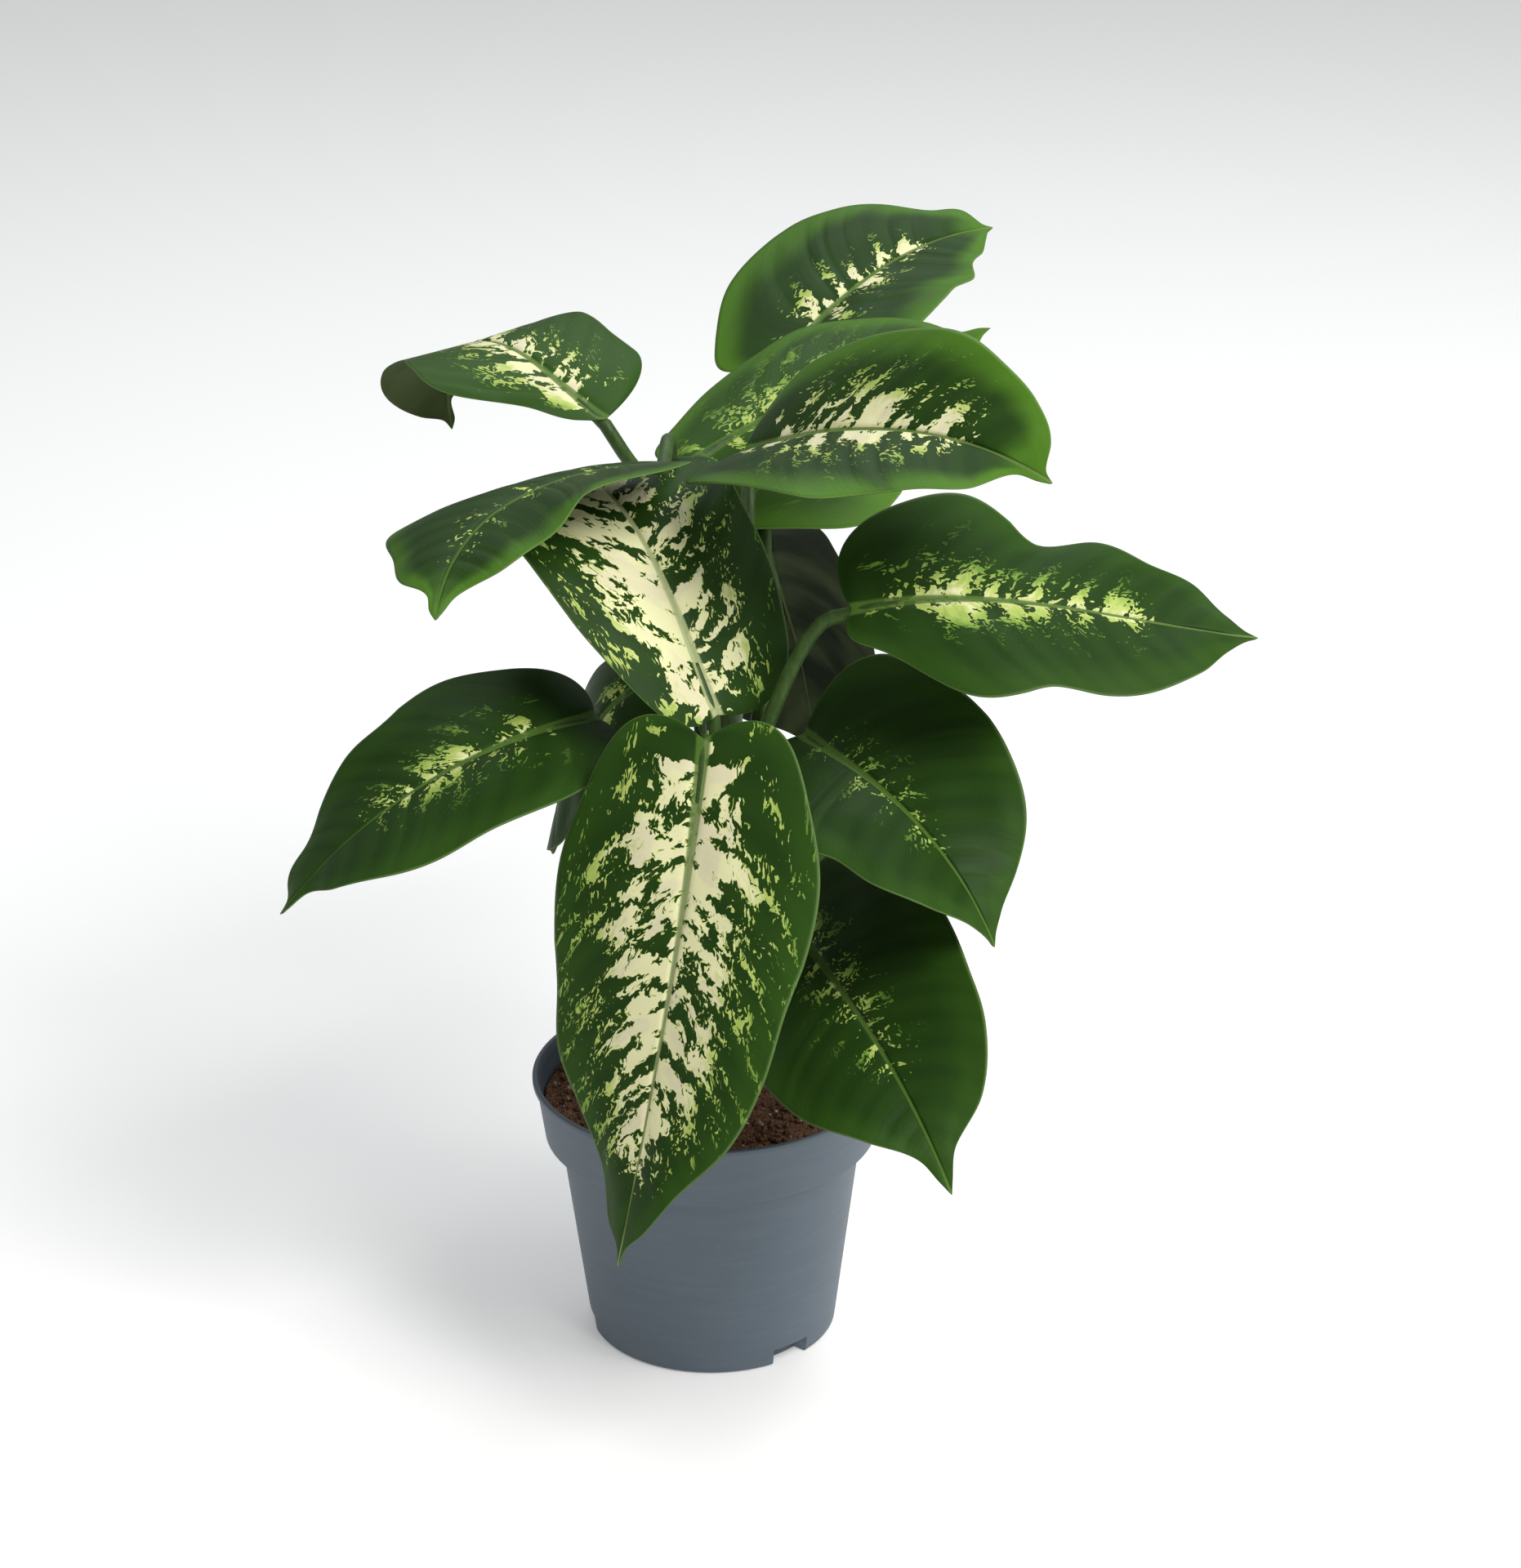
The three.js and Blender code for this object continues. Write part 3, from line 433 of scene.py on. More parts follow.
def leaf_finish(name, look, seed):
    """Green ground with patches that reach out from the midrib along the side veins.

    A patch shows where three noises and a bias are above nought together. The noises are as wide as a bundle
    of veins, a blotch and a crumb, the first two drawn out along the veins. The bias falls with the reach and
    towards both ends of the blade. A patch's tone runs from cream by the midrib over yellow-green to lime
    further out, and crumbs of lime lie round about.
    """
    f = Finish(name)
    carried = ["vein_foot", "vein_run", "side", "share", "reach", "rib", "under"]
    foot, run, side, share, reach, rib, under = map(f.attribute, carried)
    flat = f.vector(f.add(foot, f.times(side, 173.0)), run, float(seed * 31))
    half = (-0.5, -0.5, -0.5)
    drift = f.shifted(f.noise(f.scaled(flat, (0.13, 0.09, 1)), detail=1, output="Color"), half)
    scallop = f.shifted(f.noise(f.scaled(flat, (0.7, 0.5, 1)), detail=1, output="Color"), half)
    grown = f.shifted(f.shifted(flat, f.scaled(drift, (7, 10, 0))), f.scaled(scallop, (1.6, 2.2, 0)))

    def grain(wide, long, detail, shift=0.0):
        """Noise about nought, its grains so many millimetres wide across the veins and long along them."""
        place = f.shifted(f.scaled(grown, (1 / wide, 1 / long, 1)), (shift, shift, shift))
        return f.math("SUBTRACT", f.noise(place, detail=detail), 0.5)

    def by_side(left, right):
        """One value on the blade's left half and another on its right half."""
        return f.add(right, f.times(f.step(side, -0.5, 0.5), left - right))

    bundles = grain(5.8, 15, 0)
    blotches = grain(2.8, 4.0, 2, 7.3)
    crumbs = grain(1.5, 1.3, 1, 3.1)
    start, end = look.span
    along = f.add(share, f.times(bundles, 0.3), f.times(blotches, 0.15))
    ends = f.times(f.step(along, start - 0.05, start + 0.07), f.step(along, end + 0.08, end - 0.12))
    outside = f.times(f.math("SUBTRACT", 1.0, ends), -0.9)
    far = f.math("DIVIDE", reach, by_side(*look.spread))
    amount = by_side(*[0.9 * (cover - 0.5) for cover in look.cover])
    fall = f.times(f.math("POWER", far, 1.6), -0.62)
    broken = f.times(crumbs, f.add(0.55, f.times(f.step(far, 0.2, 1.0), 0.5)))
    field = f.add(f.times(bundles, 1.25), f.times(blotches, 1.3), broken, amount, fall, outside)
    patch = f.step(field, 0.0, 0.025)
    specks = f.add(
        f.times(bundles, 1.1), f.times(blotches, 0.8), f.times(crumbs, 1.35), look.speck - 0.36,
        f.times(f.math("POWER", f.times(far, 0.72), 2.0), -0.4), outside,
    )
    speck = f.times(f.step(specks, 0.0, 0.05), f.step(reach, 0.0, 0.03))

    tone = f.noise(f.scaled(grown, (0.05, 0.02, 1)), detail=1)
    between_veins = f.math("PINGPONG", f.math("DIVIDE", foot, VEIN_SPACING), 0.5)
    uneven = f.times(f.math("SUBTRACT", tone, 0.5), 1.2)
    outward = f.add(f.step(reach, 0.45, 1.05), f.step(share, 0.7, 1.0), uneven)
    ground = f.mix(f.step(outward, 0.2, 1.1), look.green, look.edge)
    # Lighter green on the swellings between the strong veins and darker along the veins: painted light and
    # shade of the quilted blade.
    ground = f.mix(f.times(f.step(between_veins, 0.05, 0.4), 0.3), ground, f.mix(0.2, ground, FRESH))
    paleness = f.add(far, f.times(blotches, 0.9), look.tone)
    lime = f.mix(f.step(paleness, 0.7, 1.25), YELLOW_GREEN, LIME)
    cream = f.mix(f.step(grain(9, 14, 0, 5.7), 0.02, 0.12), CREAM, BLUSH)
    patch_tone = f.mix(f.times(f.step(field, 0.0, 0.09), f.step(paleness, 0.8, 0.45)), lime, cream)
    speck_tone = f.mix(f.step(crumbs, 0.0, 0.12), LIME, lime)
    colour = f.mix(f.times(speck, f.step(paleness, 2.0, 0.6)), ground, speck_tone)
    colour = f.mix(patch, colour, patch_tone)
    pale_from = 0.7 - 1.2 * look.rib_pale
    whitened = f.times(f.step(share, pale_from, pale_from + 0.5), look.rib_pale)
    colour = f.mix(f.times(rib, 0.9), colour, f.mix(whitened, RIB_GREEN, RIB_WHITE))
    colour = f.mix(f.times(f.step(reach, 0.975, 0.995), 0.5), colour, MARGIN_GREEN)
    below = f.mix(f.step(tone, 0.35, 0.65), look.below, f.mix(0.3, look.below, UNDERSIDE_PALE))
    below = f.mix(f.times(rib, 0.6), below, UNDERSIDE_RIB)
    colour = f.mix(under, colour, below)

    fine_veins = f.math("DIVIDE", f.add(foot, f.times(crumbs, 0.8)), FINE_VEIN_SPACING)
    fine_veins = f.math("PINGPONG", fine_veins, 0.5)
    height = f.add(f.times(f.step(fine_veins, 0.0, 0.3), 0.12), f.times(blotches, 0.7), f.times(crumbs, 0.3))
    f.bump(height, 0.00014, 0.8)
    roughness = f.add(0.42, f.times(tone, 0.1), f.times(under, 0.2), f.times(patch, 0.05))
    return f.done(Base_Color=colour, Roughness=roughness, Specular_IOR_Level=0.1)


# ---- Blades ----


def half_width(widths, s):
    """Half width of a blade: round at the base, then through the table's widths to the drip tip."""
    rounding = np.sqrt(np.clip(1 - (1 - np.minimum(s / BASE_ROUNDING, 1)) ** 2, 0, None))
    xs = [0, *WIDTH_STATIONS, 0.96, 1]
    ys = [BASE_OPENING * widths[0], *widths, DRIP_HALF_WIDTH, 0]
    return rounding * np.maximum(smooth_through(xs, ys, s), 0)


def rib_frame(leaf, s):
    """Unit vectors along the midrib, to the leaf's left and out of its upper face.

    Heading and pitch are quadratics in s and turn the first vector. The other two are the level vector beside
    it and their cross product, both rolled about it.
    """
    heading = np.radians(through_three(leaf["heading"], s))
    pitch = np.radians(through_three(leaf["pitch"], s))
    roll = np.radians(leaf["roll"][0] + (leaf["roll"][1] - leaf["roll"][0]) * s)[:, None]
    along = np.stack([np.cos(pitch) * np.cos(heading), np.cos(pitch) * np.sin(heading), np.sin(pitch)], -1)
    level = np.stack([-np.sin(heading), np.cos(heading), np.zeros_like(s)], -1)
    upright = np.cross(along, level)
    left = level * np.cos(roll) + upright * np.sin(roll)
    up = upright * np.cos(roll) - level * np.sin(roll)
    return along, left, up


def rib_course(leaf, s):
    """Points of the midrib: the sum of short straight steps, each in the direction at its middle."""
    middle = (np.arange(RIB_STEPS) + 0.5) / RIB_STEPS
    walked = np.cumsum(rib_frame(leaf, middle)[0] * leaf["length"] / RIB_STEPS, axis=0)
    points = np.concatenate([[leaf["base"]], leaf["base"] + walked])
    knots = np.linspace(0, 1, RIB_STEPS + 1)
    return np.stack([np.interp(s, knots, points[:, i]) for i in range(3)], -1)


def blade_face(leaf, s, v):
    """Upper face over shares s along the blade and v across it, from -1 at the right margin to 1 at the left.

    Each half leaves the midrib at the fold angle and bends down by its droop, in equal steps. The margin
    ripples with a sine, the base lobes reach back and the rest of a cross line sweeps towards the tip. The
    half width and how far a cross line is swept come back with the points.
    """
    along, left, up = (vectors[:, None] for vectors in rib_frame(leaf, s))
    side, reach = np.where(v < 0, -1, 1), np.abs(v)
    width = np.where(v < 0, half_width(leaf["right"], s)[:, None], half_width(leaf["left"], s)[:, None])
    droop = np.where(v < 0, leaf["droop"][1], leaf["droop"][0])
    bends = (np.arange(FOLD_STEPS) + 0.5) / FOLD_STEPS
    angle = np.radians(leaf["fold"] - (droop * reach)[:, None] * bends)
    across = reach * np.cos(angle).mean(axis=1)
    height = reach * np.sin(angle).mean(axis=1)
    wave_height, count, phase = leaf["wave"]
    wave = wave_height * (smooth(0, 0.15, s) * (1 - smooth(0.85, 1, s)))[:, None] * reach**2
    ripple = wave * np.sin(2 * np.pi * (count * s[:, None] + phase + WAVE_LAG * side))
    q = np.sqrt(np.minimum(s / LOBE_END, 1))[:, None]
    outward = reach ** SWEEP["power"]
    swept = SWEEP["share"] * width * np.minimum(s / SWEEP["full_from"], 1)[:, None] * outward
    sweep = swept - leaf["lobe"] * 4 * q * (1 - q) * outward
    points = rib_course(leaf, s)[:, None] + left * (side * width * across)[..., None]
    points = points + up * (width * height + ripple)[..., None] + along * sweep[..., None]
    return points, width, swept


def blade(leaf, depth, seed):
    """A leaf blade as a thin closed shell, and what its finish has to know at each vertex.

    The upper face is blade_face with the midrib's channel, narrow grooves along the strong side veins, scaled
    by the given depth, and low swellings between them. The lower face is the upper one moved in along its
    normals by the thickness, which is least at the margin and grows to the round midrib. Side veins lean
    towards the tip and bend further by the margin: foot is where on the midrib a point's vein starts, and run
    how far along that vein the point lies.
    """
    t = np.linspace(0.004, 0.9985, ROWS)
    s = 1.2 * t**2 / (t + 0.2)
    w = np.linspace(-1, 1, 2 * HALF_COLUMNS + 1)
    v = w * (0.35 + 0.65 * np.abs(w) ** 1.2)
    face, width, swept = blade_face(leaf, s, v)
    normal = unit(np.cross(np.gradient(face, axis=0), np.gradient(face, axis=1)))

    reach, side = np.abs(v) + 0 * width, np.sign(v) + 0 * width
    lengths = s[:, None] * leaf["length"] + 0 * width
    lean = width * (0.46 * reach + 0.3 * reach**2.8) - swept
    foot = lengths - lean * smooth(0, 0.25, s)[:, None]
    run = width * (reach + 0.2 * reach**2)
    distance = width * reach
    rib_half = (0.4 + 2.2 * (1 - s) ** 2.6)[:, None]

    strong = foot + np.where(side > 0, 0.5 * VEIN_SPACING, 0) + 4.2 * waves(foot, seed, [53, 29])
    strong = strong / VEIN_SPACING
    beside = np.abs(strong - np.round(strong)) * VEIN_SPACING
    inside = smooth(0.03, 0.2, s)[:, None] * smooth(1, 0.8, s)[:, None]
    across_fade = smooth(0, 0.12, reach) * (1 - smooth(0.75, 1, reach))
    uneven = 0.6 + 0.4 * waves(foot + 0.3 * run, seed + 3, [41, 67])
    grooves = 0.3 * (1 - bell(beside, 2.8)) - 0.22 * bell(beside, 1.1)
    relief = depth * inside * across_fade * uneven * grooves
    swelling = 0.5 * waves(foot + 0.4 * run, seed + 1, [31, 47])
    swelling = swelling * waves(run, seed + 2, [26, 41]) * across_fade
    channel = 0.45 * bell(distance, 0.6 * rib_half) - 0.85 * bell(distance, 1.25 * rib_half)
    channel = channel * smooth(0, 0.04, s)[:, None] * (1 - smooth(0.9, 1, s))[:, None]
    upper = face + normal * (relief + inside * swelling + channel)[..., None]

    round_rib = np.sqrt(np.clip(1 - (distance / (1.15 * rib_half)) ** 2, 0, 1))
    ridge = RIB_DEPTH * (1 - s[:, None]) ** 1.3 * round_rib
    ends = np.sqrt(np.minimum(s / 0.012, 1) * np.minimum((1 - s) / 0.01, 1))[:, None]
    thickness = (0.3 + 0.45 * np.exp(-distance / 8)) * ends + ridge * smooth(0, 0.03, s)[:, None]
    lower = upper - normal * thickness[..., None]

    def round_about(above, below):
        """Rows over the upper face from margin to margin and back under the lower one."""
        return np.concatenate([above, below[:, ::-1]], axis=1)

    rib = 1 - smooth(0.75, 1.1, distance / rib_half)
    share = lengths / leaf["length"]
    values = dict(share=share, reach=reach, side=side, rib=rib, vein_foot=foot, vein_run=run)
    values = {key: round_about(value, value) for key, value in values.items()}
    values["under"] = round_about(np.zeros_like(reach), np.ones_like(reach))
    with_poles = {
        key: np.concatenate([value.ravel(), value[[0, -1]].mean(axis=1)]) for key, value in values.items()
    }
    return closed_tube(round_about(upper, lower)), with_poles


# ---- Canes, petioles and sheaths ----


def cane_centre(shoot, t):
    """The cane's centre line: a quadratic through its three path points, by its share t from the bottom."""
    return through_three([np.array(p, float) for p in shoot["path"]], np.asarray(t, float)[..., None])


def cane_share(shoot, z):
    """The share t at which the centre line is at height z, read off a fine table."""
    t = np.linspace(0, 1, 2001)
    return np.interp(z, cane_centre(shoot, t)[:, 2], t)


def cane_radius(shoot, t):
    """The radius, which shrinks evenly with the share t."""
    return shoot["radius"] * (1 - STEM_TAPER * t)


def round_rings(centres, radii, towards, around, shape):
    """Rings of points about a centre line, each square to it.

    Point 0 of a ring lies on the side that towards points to. shape gives a factor on the radius for each
    ring and each angle.
    """
    along = unit(np.gradient(centres, axis=0))
    first = unit(towards - along * (along * towards).sum(axis=-1, keepdims=True))
    second = np.cross(along, first)
    angle = all_round(around)
    reach = (radii[:, None] * shape(angle))[..., None]
    turned = first[:, None] * np.cos(angle)[:, None] + second[:, None] * np.sin(angle)[:, None]
    return centres[:, None] + reach * turned


def cane(shoot):
    """A cane with a raised ring at each leaf scar, and the furled young leaf at its top with its spiral edge.

    The radius shrinks evenly upwards. A scar is a narrow bell-shaped ring with a shallow neck above it. Above
    the top the centre line runs straight to the tip, and one step winds round it like rolled paper.
    """
    t = np.linspace(0, 1, CANE_RINGS_PER_SCAR * shoot["scars"])
    stem = cane_centre(shoot, t)
    spacing = 1 / shoot["scars"]
    place = t / spacing
    beside = (place - np.round(place)) * spacing * np.linalg.norm(stem[-1] - stem[0])
    radii = cane_radius(shoot, t) * (1 - 0.035 * (1 - bell(beside, 1.3))) - 0.25 * bell(beside - 2.2, 1.2)
    share = np.linspace(0, 1, FURLED_RINGS)[1:]
    tip = np.array(shoot["tip"], float)
    furled = stem[-1] + (tip - stem[-1]) * share[:, None]
    furled_radii = cane_radius(shoot, 1) * np.interp(share, *zip(*FURLED_LEAF))
    centres = np.concatenate([stem, furled])
    turns = np.concatenate([np.zeros(len(t)), share])

    def rolled(angle):
        """One step on the radius that winds round the furled leaf and is nought on the cane."""
        behind = np.mod(angle[None] + 7.5 * turns[:, None], 2 * np.pi) / (2 * np.pi)
        edge = np.where(turns > 0, 1, 0)[:, None] * (0.16 * (1 - behind) - 0.08)
        return 1 + edge * smooth(0, 0.12, turns)[:, None]

    radii = np.concatenate([radii, furled_radii])
    rings = round_rings(centres, radii, np.array([1.0, 0, 0]), CANE_SIDES, rolled)
    young = np.concatenate([np.repeat(turns, CANE_SIDES), [0, 1]])
    height = np.concatenate([rings[..., 2].ravel(), [0, tip[2]]])
    return closed_tube(rings), dict(young=young, height=height)


def smooth_course(points, count):
    """Points at even distances on the centripetal Catmull-Rom curve through the given ones.

    Knots are spaced by the square root of the distance between neighbours, and the ends are continued by a
    mirrored point.
    """
    p = np.asarray(points, float)
    p = np.concatenate([[2 * p[0] - p[1]], p, [2 * p[-1] - p[-2]]])
    gap = np.sqrt(np.linalg.norm(np.diff(p, axis=0), axis=1))[:, None]
    slope = np.diff(p, axis=0) / gap
    around = (p[2:] - p[:-2]) / (gap[1:] + gap[:-1])
    tangent = slope[:-1] - around + slope[1:]
    w = np.linspace(0, 1, 33)[:, None, None]
    curve = hermite(w, gap[1:-1], p[1:-2], tangent[:-1], p[2:-1], tangent[1:])
    curve = np.concatenate([curve[:-1].transpose(1, 0, 2).reshape(-1, 3), p[-2:-1]])
    walked = np.concatenate([[0], np.cumsum(np.linalg.norm(np.diff(curve, axis=0), axis=1))])
    even = np.linspace(0, walked[-1], count)
    return np.stack([np.interp(even, walked, curve[:, i]) for i in range(3)], -1)


def stalk(leaf):
    """The petiole from its sheath on the cane to the blade and on under the midrib, and the sheath.

    The petiole is a tube about the smooth course, with a shallow groove on the side that faces the cane. The
    sheath is a sleeve round the cane whose upper rim falls away from the petiole.
    """
    shoot = SHOOTS[leaf["shoot"]]
    foot = cane_centre(shoot, cane_share(shoot, leaf["node"] + 0.4 * SHEATH_LENGTH))
    base_up = rib_frame(leaf, np.zeros(1))[2][0]
    end = np.array(leaf["base"]) - base_up * PETIOLE_RADIUS["blade"]
    outward = np.array(leaf["via"][0]) - foot
    outward[2] = 0
    outward = unit(outward)
    start = foot + outward * 0.8 * shoot["radius"]
    leaving = outward * PETIOLE_LEAN["outward"] + np.array([0, 0, PETIOLE_LEAN["up"]])
    arriving = unit(np.array(leaf["arrive"], float))
    route = [start, start + leaving * PETIOLE_LEAVING, *leaf["via"], end - arriving * PETIOLE_ARRIVING, end]
    centres = smooth_course(route, STALK_RINGS)
    u = np.linspace(0, 1, STALK_RINGS)
    thick, thin = PETIOLE_RADIUS["sheath"], PETIOLE_RADIUS["blade"]
    radii = np.interp(u, [0, 2 / 3, 1], [thick, thin, thin])
    share = np.linspace(0, 1, UNDER_RIB_RINGS)[2:]
    s = share * RIB_RUN_OUT
    under_radii = thin + (0.9 - thin) * share
    under = rib_course(leaf, s) - rib_frame(leaf, s)[2] * (under_radii + 0.1)[:, None]
    centres = np.concatenate([centres, under])
    radii = np.concatenate([radii, under_radii])
    sideways = np.cross(outward, [0, 0, 1.0])
    facing = np.cross(unit(np.gradient(centres, axis=0)), -sideways)
    depth = 0.17 * np.concatenate([smooth(0.02, 0.2, u) * (1 - smooth(0.8, 1, u)), np.zeros(len(share))])

    def grooved(angle):
        """A bell-shaped dent at angle 0 with a low swelling at each side."""
        turned = np.minimum(angle, 2 * np.pi - angle)
        return 1 - depth[:, None] * bell(turned, 0.5) + 0.35 * depth[:, None] * bell(turned - 0.8, 0.3)

    tube = closed_tube(round_rings(centres, radii, facing, STALK_SIDES, grooved))

    around = all_round(SHEATH_SIDES)
    turn = np.cos(around - np.arctan2(outward[1], outward[0]))
    profile_height = np.array([0, 0.08, 0.5, 0.9, 1, 1, 0.5, 0])
    outer = np.array([1, 1, 1, 1, 1, 0, 0, 0])
    bevel = np.array([0.5, 0, 0, 0.1, 0.45, 0, 0, 0])
    rim = 0.72 + 0.28 * (0.5 + 0.5 * turn)
    lift = profile_height[:, None] * rim * SHEATH_LENGTH
    t = cane_share(shoot, leaf["node"] + lift)
    wall = SHEATH_WALL["bottom"] + (SHEATH_WALL["top"] - SHEATH_WALL["bottom"]) * profile_height
    radius = cane_radius(shoot, t) + GAP + (outer * wall - outer * bevel)[:, None]
    flat = np.stack([np.cos(around), np.sin(around), np.zeros(SHEATH_SIDES)], -1)
    sleeve = closed_ring(cane_centre(shoot, t) + radius[..., None] * flat)
    return joined(tube, sleeve)


# ---- Pot and soil ----

RIM_RADIUS, POT_HEIGHT, FOOT_RADIUS, FLOOR = 60, 93.5, 42, 7.5
WALL = 1.3
COLLAR_BOTTOM, COLLAR_BOTTOM_RADIUS, COLLAR_TOP_RADIUS = 71.8, 56.1, 58.8
WALL_TOP_RADIUS, LIP = 51.1, 2.2
INNER_STEP = dict(top=COLLAR_BOTTOM + 1.4, bottom=COLLAR_BOTTOM - 0.6)  # the collar's step inside the pot
INNER_FOOT_RADIUS = FOOT_RADIUS - WALL + 0.2
DRAIN_SLOT = dict(width=14, height=6, depth=5)
DRAIN_HEADINGS = [-51, 69, 189]  # degrees, one slot at each
SLOT_EDGE = 0.003  # angle over which a slot's side runs in
POT_SIDES, ARC_POINTS = 192, 5
PARTING_LINE = dict(heading=-87, half_width=0.006, height=0.09)
SOIL_TOP = 84.5
SOIL_BUMP = 0.9
SOIL_RINGS, SOIL_SIDES = 90, 260
LATTICE = 64
CRUMB_SIZES = [7, 3.2, 1.5]
GRAINS_OFF_RIM = 2.0


def rounded(corners, radii):
    """A profile whose corners are replaced by quadratic arcs that start and end the given distance away."""
    corners = np.asarray(corners, float)
    profile = [corners[:1]]
    for i, cut in enumerate(radii, start=1):
        before, corner, after = corners[i - 1 : i + 2]
        a = corner + unit(before - corner) * cut
        b = corner + unit(after - corner) * cut
        w = np.linspace(0, 1, ARC_POINTS)[:, None]
        profile.append((1 - w) ** 2 * a + 2 * w * (1 - w) * corner + w**2 * b)
    return np.concatenate([*profile, corners[-1:]])


def pot():
    """The pot: its wall's profile turned about the axis, with the drain slots pressed into the foot.

    The slots' columns of the turned grid have their points below the slot's roof moved in by its depth. The
    mould's parting line is a narrow bell on the collar's radius.
    """
    slot_radius = FOOT_RADIUS + (WALL_TOP_RADIUS - FOOT_RADIUS) * DRAIN_SLOT["height"] / COLLAR_BOTTOM
    corners = [
        (0, 0), (FOOT_RADIUS - 4.2, 0), (FOOT_RADIUS, 0), (slot_radius, DRAIN_SLOT["height"]),
        (WALL_TOP_RADIUS, COLLAR_BOTTOM), (COLLAR_BOTTOM_RADIUS, COLLAR_BOTTOM),
        (COLLAR_TOP_RADIUS, POT_HEIGHT - LIP), (RIM_RADIUS, POT_HEIGHT - LIP), (RIM_RADIUS, POT_HEIGHT),
        (RIM_RADIUS - 1.6, POT_HEIGHT), (COLLAR_TOP_RADIUS - WALL, POT_HEIGHT - LIP),
        (COLLAR_BOTTOM_RADIUS - WALL, INNER_STEP["top"]), (WALL_TOP_RADIUS - WALL, INNER_STEP["bottom"]),
        (INNER_FOOT_RADIUS, FLOOR), (0, FLOOR),
    ]
    cuts = [0.1, 0.9, 0.02, 0.7, 0.7, 0.35, 0.5, 0.7, 0.5, 1.0, 0.8, 0.8, 1.2]
    profile = rounded(corners, cuts)
    half = DRAIN_SLOT["width"] / 2 / FOOT_RADIUS
    middles = np.radians(DRAIN_HEADINGS)
    edges = middles[:, None] + np.array([-half - SLOT_EDGE, -half, half, half + SLOT_EDGE])
    angle = np.concatenate([all_round(POT_SIDES), edges.ravel()])
    angle = np.unique(np.round(np.mod(angle, 2 * np.pi), 6))
    near = np.abs(np.mod(angle[:, None] - middles + np.pi, 2 * np.pi) - np.pi).min(axis=1)
    in_slot = near < half + 0.001
    radius = profile[:, 0][:, None] + 0 * angle
    height = profile[:, 1][:, None] + 0 * angle
    low = in_slot & (height < DRAIN_SLOT["height"] - 0.01) & (radius > FOOT_RADIUS - DRAIN_SLOT["depth"])
    outer = np.arange(len(profile))[:, None] < len(profile) / 2
    radius = np.where(low & outer, FOOT_RADIUS - DRAIN_SLOT["depth"], radius)
    from_line = np.mod(angle - np.radians(PARTING_LINE["heading"]) + np.pi, 2 * np.pi) - np.pi
    seam = bell(from_line, PARTING_LINE["half_width"]) * PARTING_LINE["height"]
    on_collar = smooth(COLLAR_BOTTOM, COLLAR_BOTTOM + 2, height) * outer
    radius = radius + seam * on_collar
    rings = np.stack([radius * np.cos(angle), radius * np.sin(angle), height], -1)[1:-1]
    return closed_tube(rings)


def lattice_noise(x, y, size, seed):
    """Smooth noise from 0 to 1: random values on a square lattice of the given size, blended by S-curves."""
    table = np.random.default_rng(seed).uniform(0, 1, (LATTICE, LATTICE))
    u, v = x / size, y / size
    i, j = np.floor(u).astype(int), np.floor(v).astype(int)
    a, b = smooth(0, 1, u - i), smooth(0, 1, v - j)

    def row(dj):
        """The blend along x, on the lattice line dj lines further along y."""
        near, far = (table[(i + di) % LATTICE, (j + dj) % LATTICE] for di in (0, 1))
        return near * (1 - a) + far * a

    return row(0) * (1 - b) + row(1) * b


def soil_edge():
    """Radius of the soil's rim: that of the pot's straight inner side at that height, less the gap."""
    share = (SOIL_TOP - INNER_STEP["top"]) / (POT_HEIGHT - INNER_STEP["top"])
    low, high = COLLAR_BOTTOM_RADIUS - WALL - 0.3, COLLAR_TOP_RADIUS - WALL
    return low + (high - low) * share - GAP


def soil_height(x, y):
    """Height of the soil: a low swell that sinks to the rim, and crumbs of three sizes as ridged noise."""
    edge = soil_edge()
    inner = smooth(0, 1, (edge - np.hypot(x, y)) / (0.3 * edge))
    swell = np.sin(0.11 * x + 0.6) * np.cos(0.13 * y - 0.4)
    lumps = sum(
        size * 0.16 * np.abs(2 * lattice_noise(x + 90, y + 90, size, 40 + i) - 1)
        for i, size in enumerate(CRUMB_SIZES)
    )
    return SOIL_TOP - 0.4 + inner * (1.2 + SOIL_BUMP * swell) + 1.1 * lumps


def soil():
    """The bed of soil: the pot's inside as a turned profile, with the height function over its top."""
    edge = soil_edge()
    side = np.array([
        (0.01, FLOOR + GAP), (INNER_FOOT_RADIUS - GAP, FLOOR + GAP),
        (WALL_TOP_RADIUS - WALL - GAP, INNER_STEP["bottom"] + GAP),
        (COLLAR_BOTTOM_RADIUS - WALL - 0.3 - GAP, INNER_STEP["top"] + GAP),
    ])
    radius = np.concatenate([side[:, 0], edge * np.linspace(1, 0.004, SOIL_RINGS)])
    height = np.concatenate([side[:, 1], np.zeros(SOIL_RINGS)])
    angle = all_round(SOIL_SIDES)
    x, y = radius[:, None] * np.cos(angle), radius[:, None] * np.sin(angle)
    top = np.arange(len(radius))[:, None] >= len(side)
    z = np.where(top, soil_height(x, y), height[:, None] + 0 * x)
    return closed_tube(np.stack([x, y, z], -1))


def unit_ball():
    """A ball of radius 1: five level rings of eight points between two poles."""
    polar = np.linspace(0.35, np.pi - 0.35, 5)
    around = all_round(8)
    ring = np.stack([np.cos(around), np.sin(around), np.zeros(8)], -1)
    rings = ring * np.sin(polar)[:, None, None] + np.array([0, 0, 1.0]) * np.cos(polar)[:, None, None]
    return closed_tube(rings)


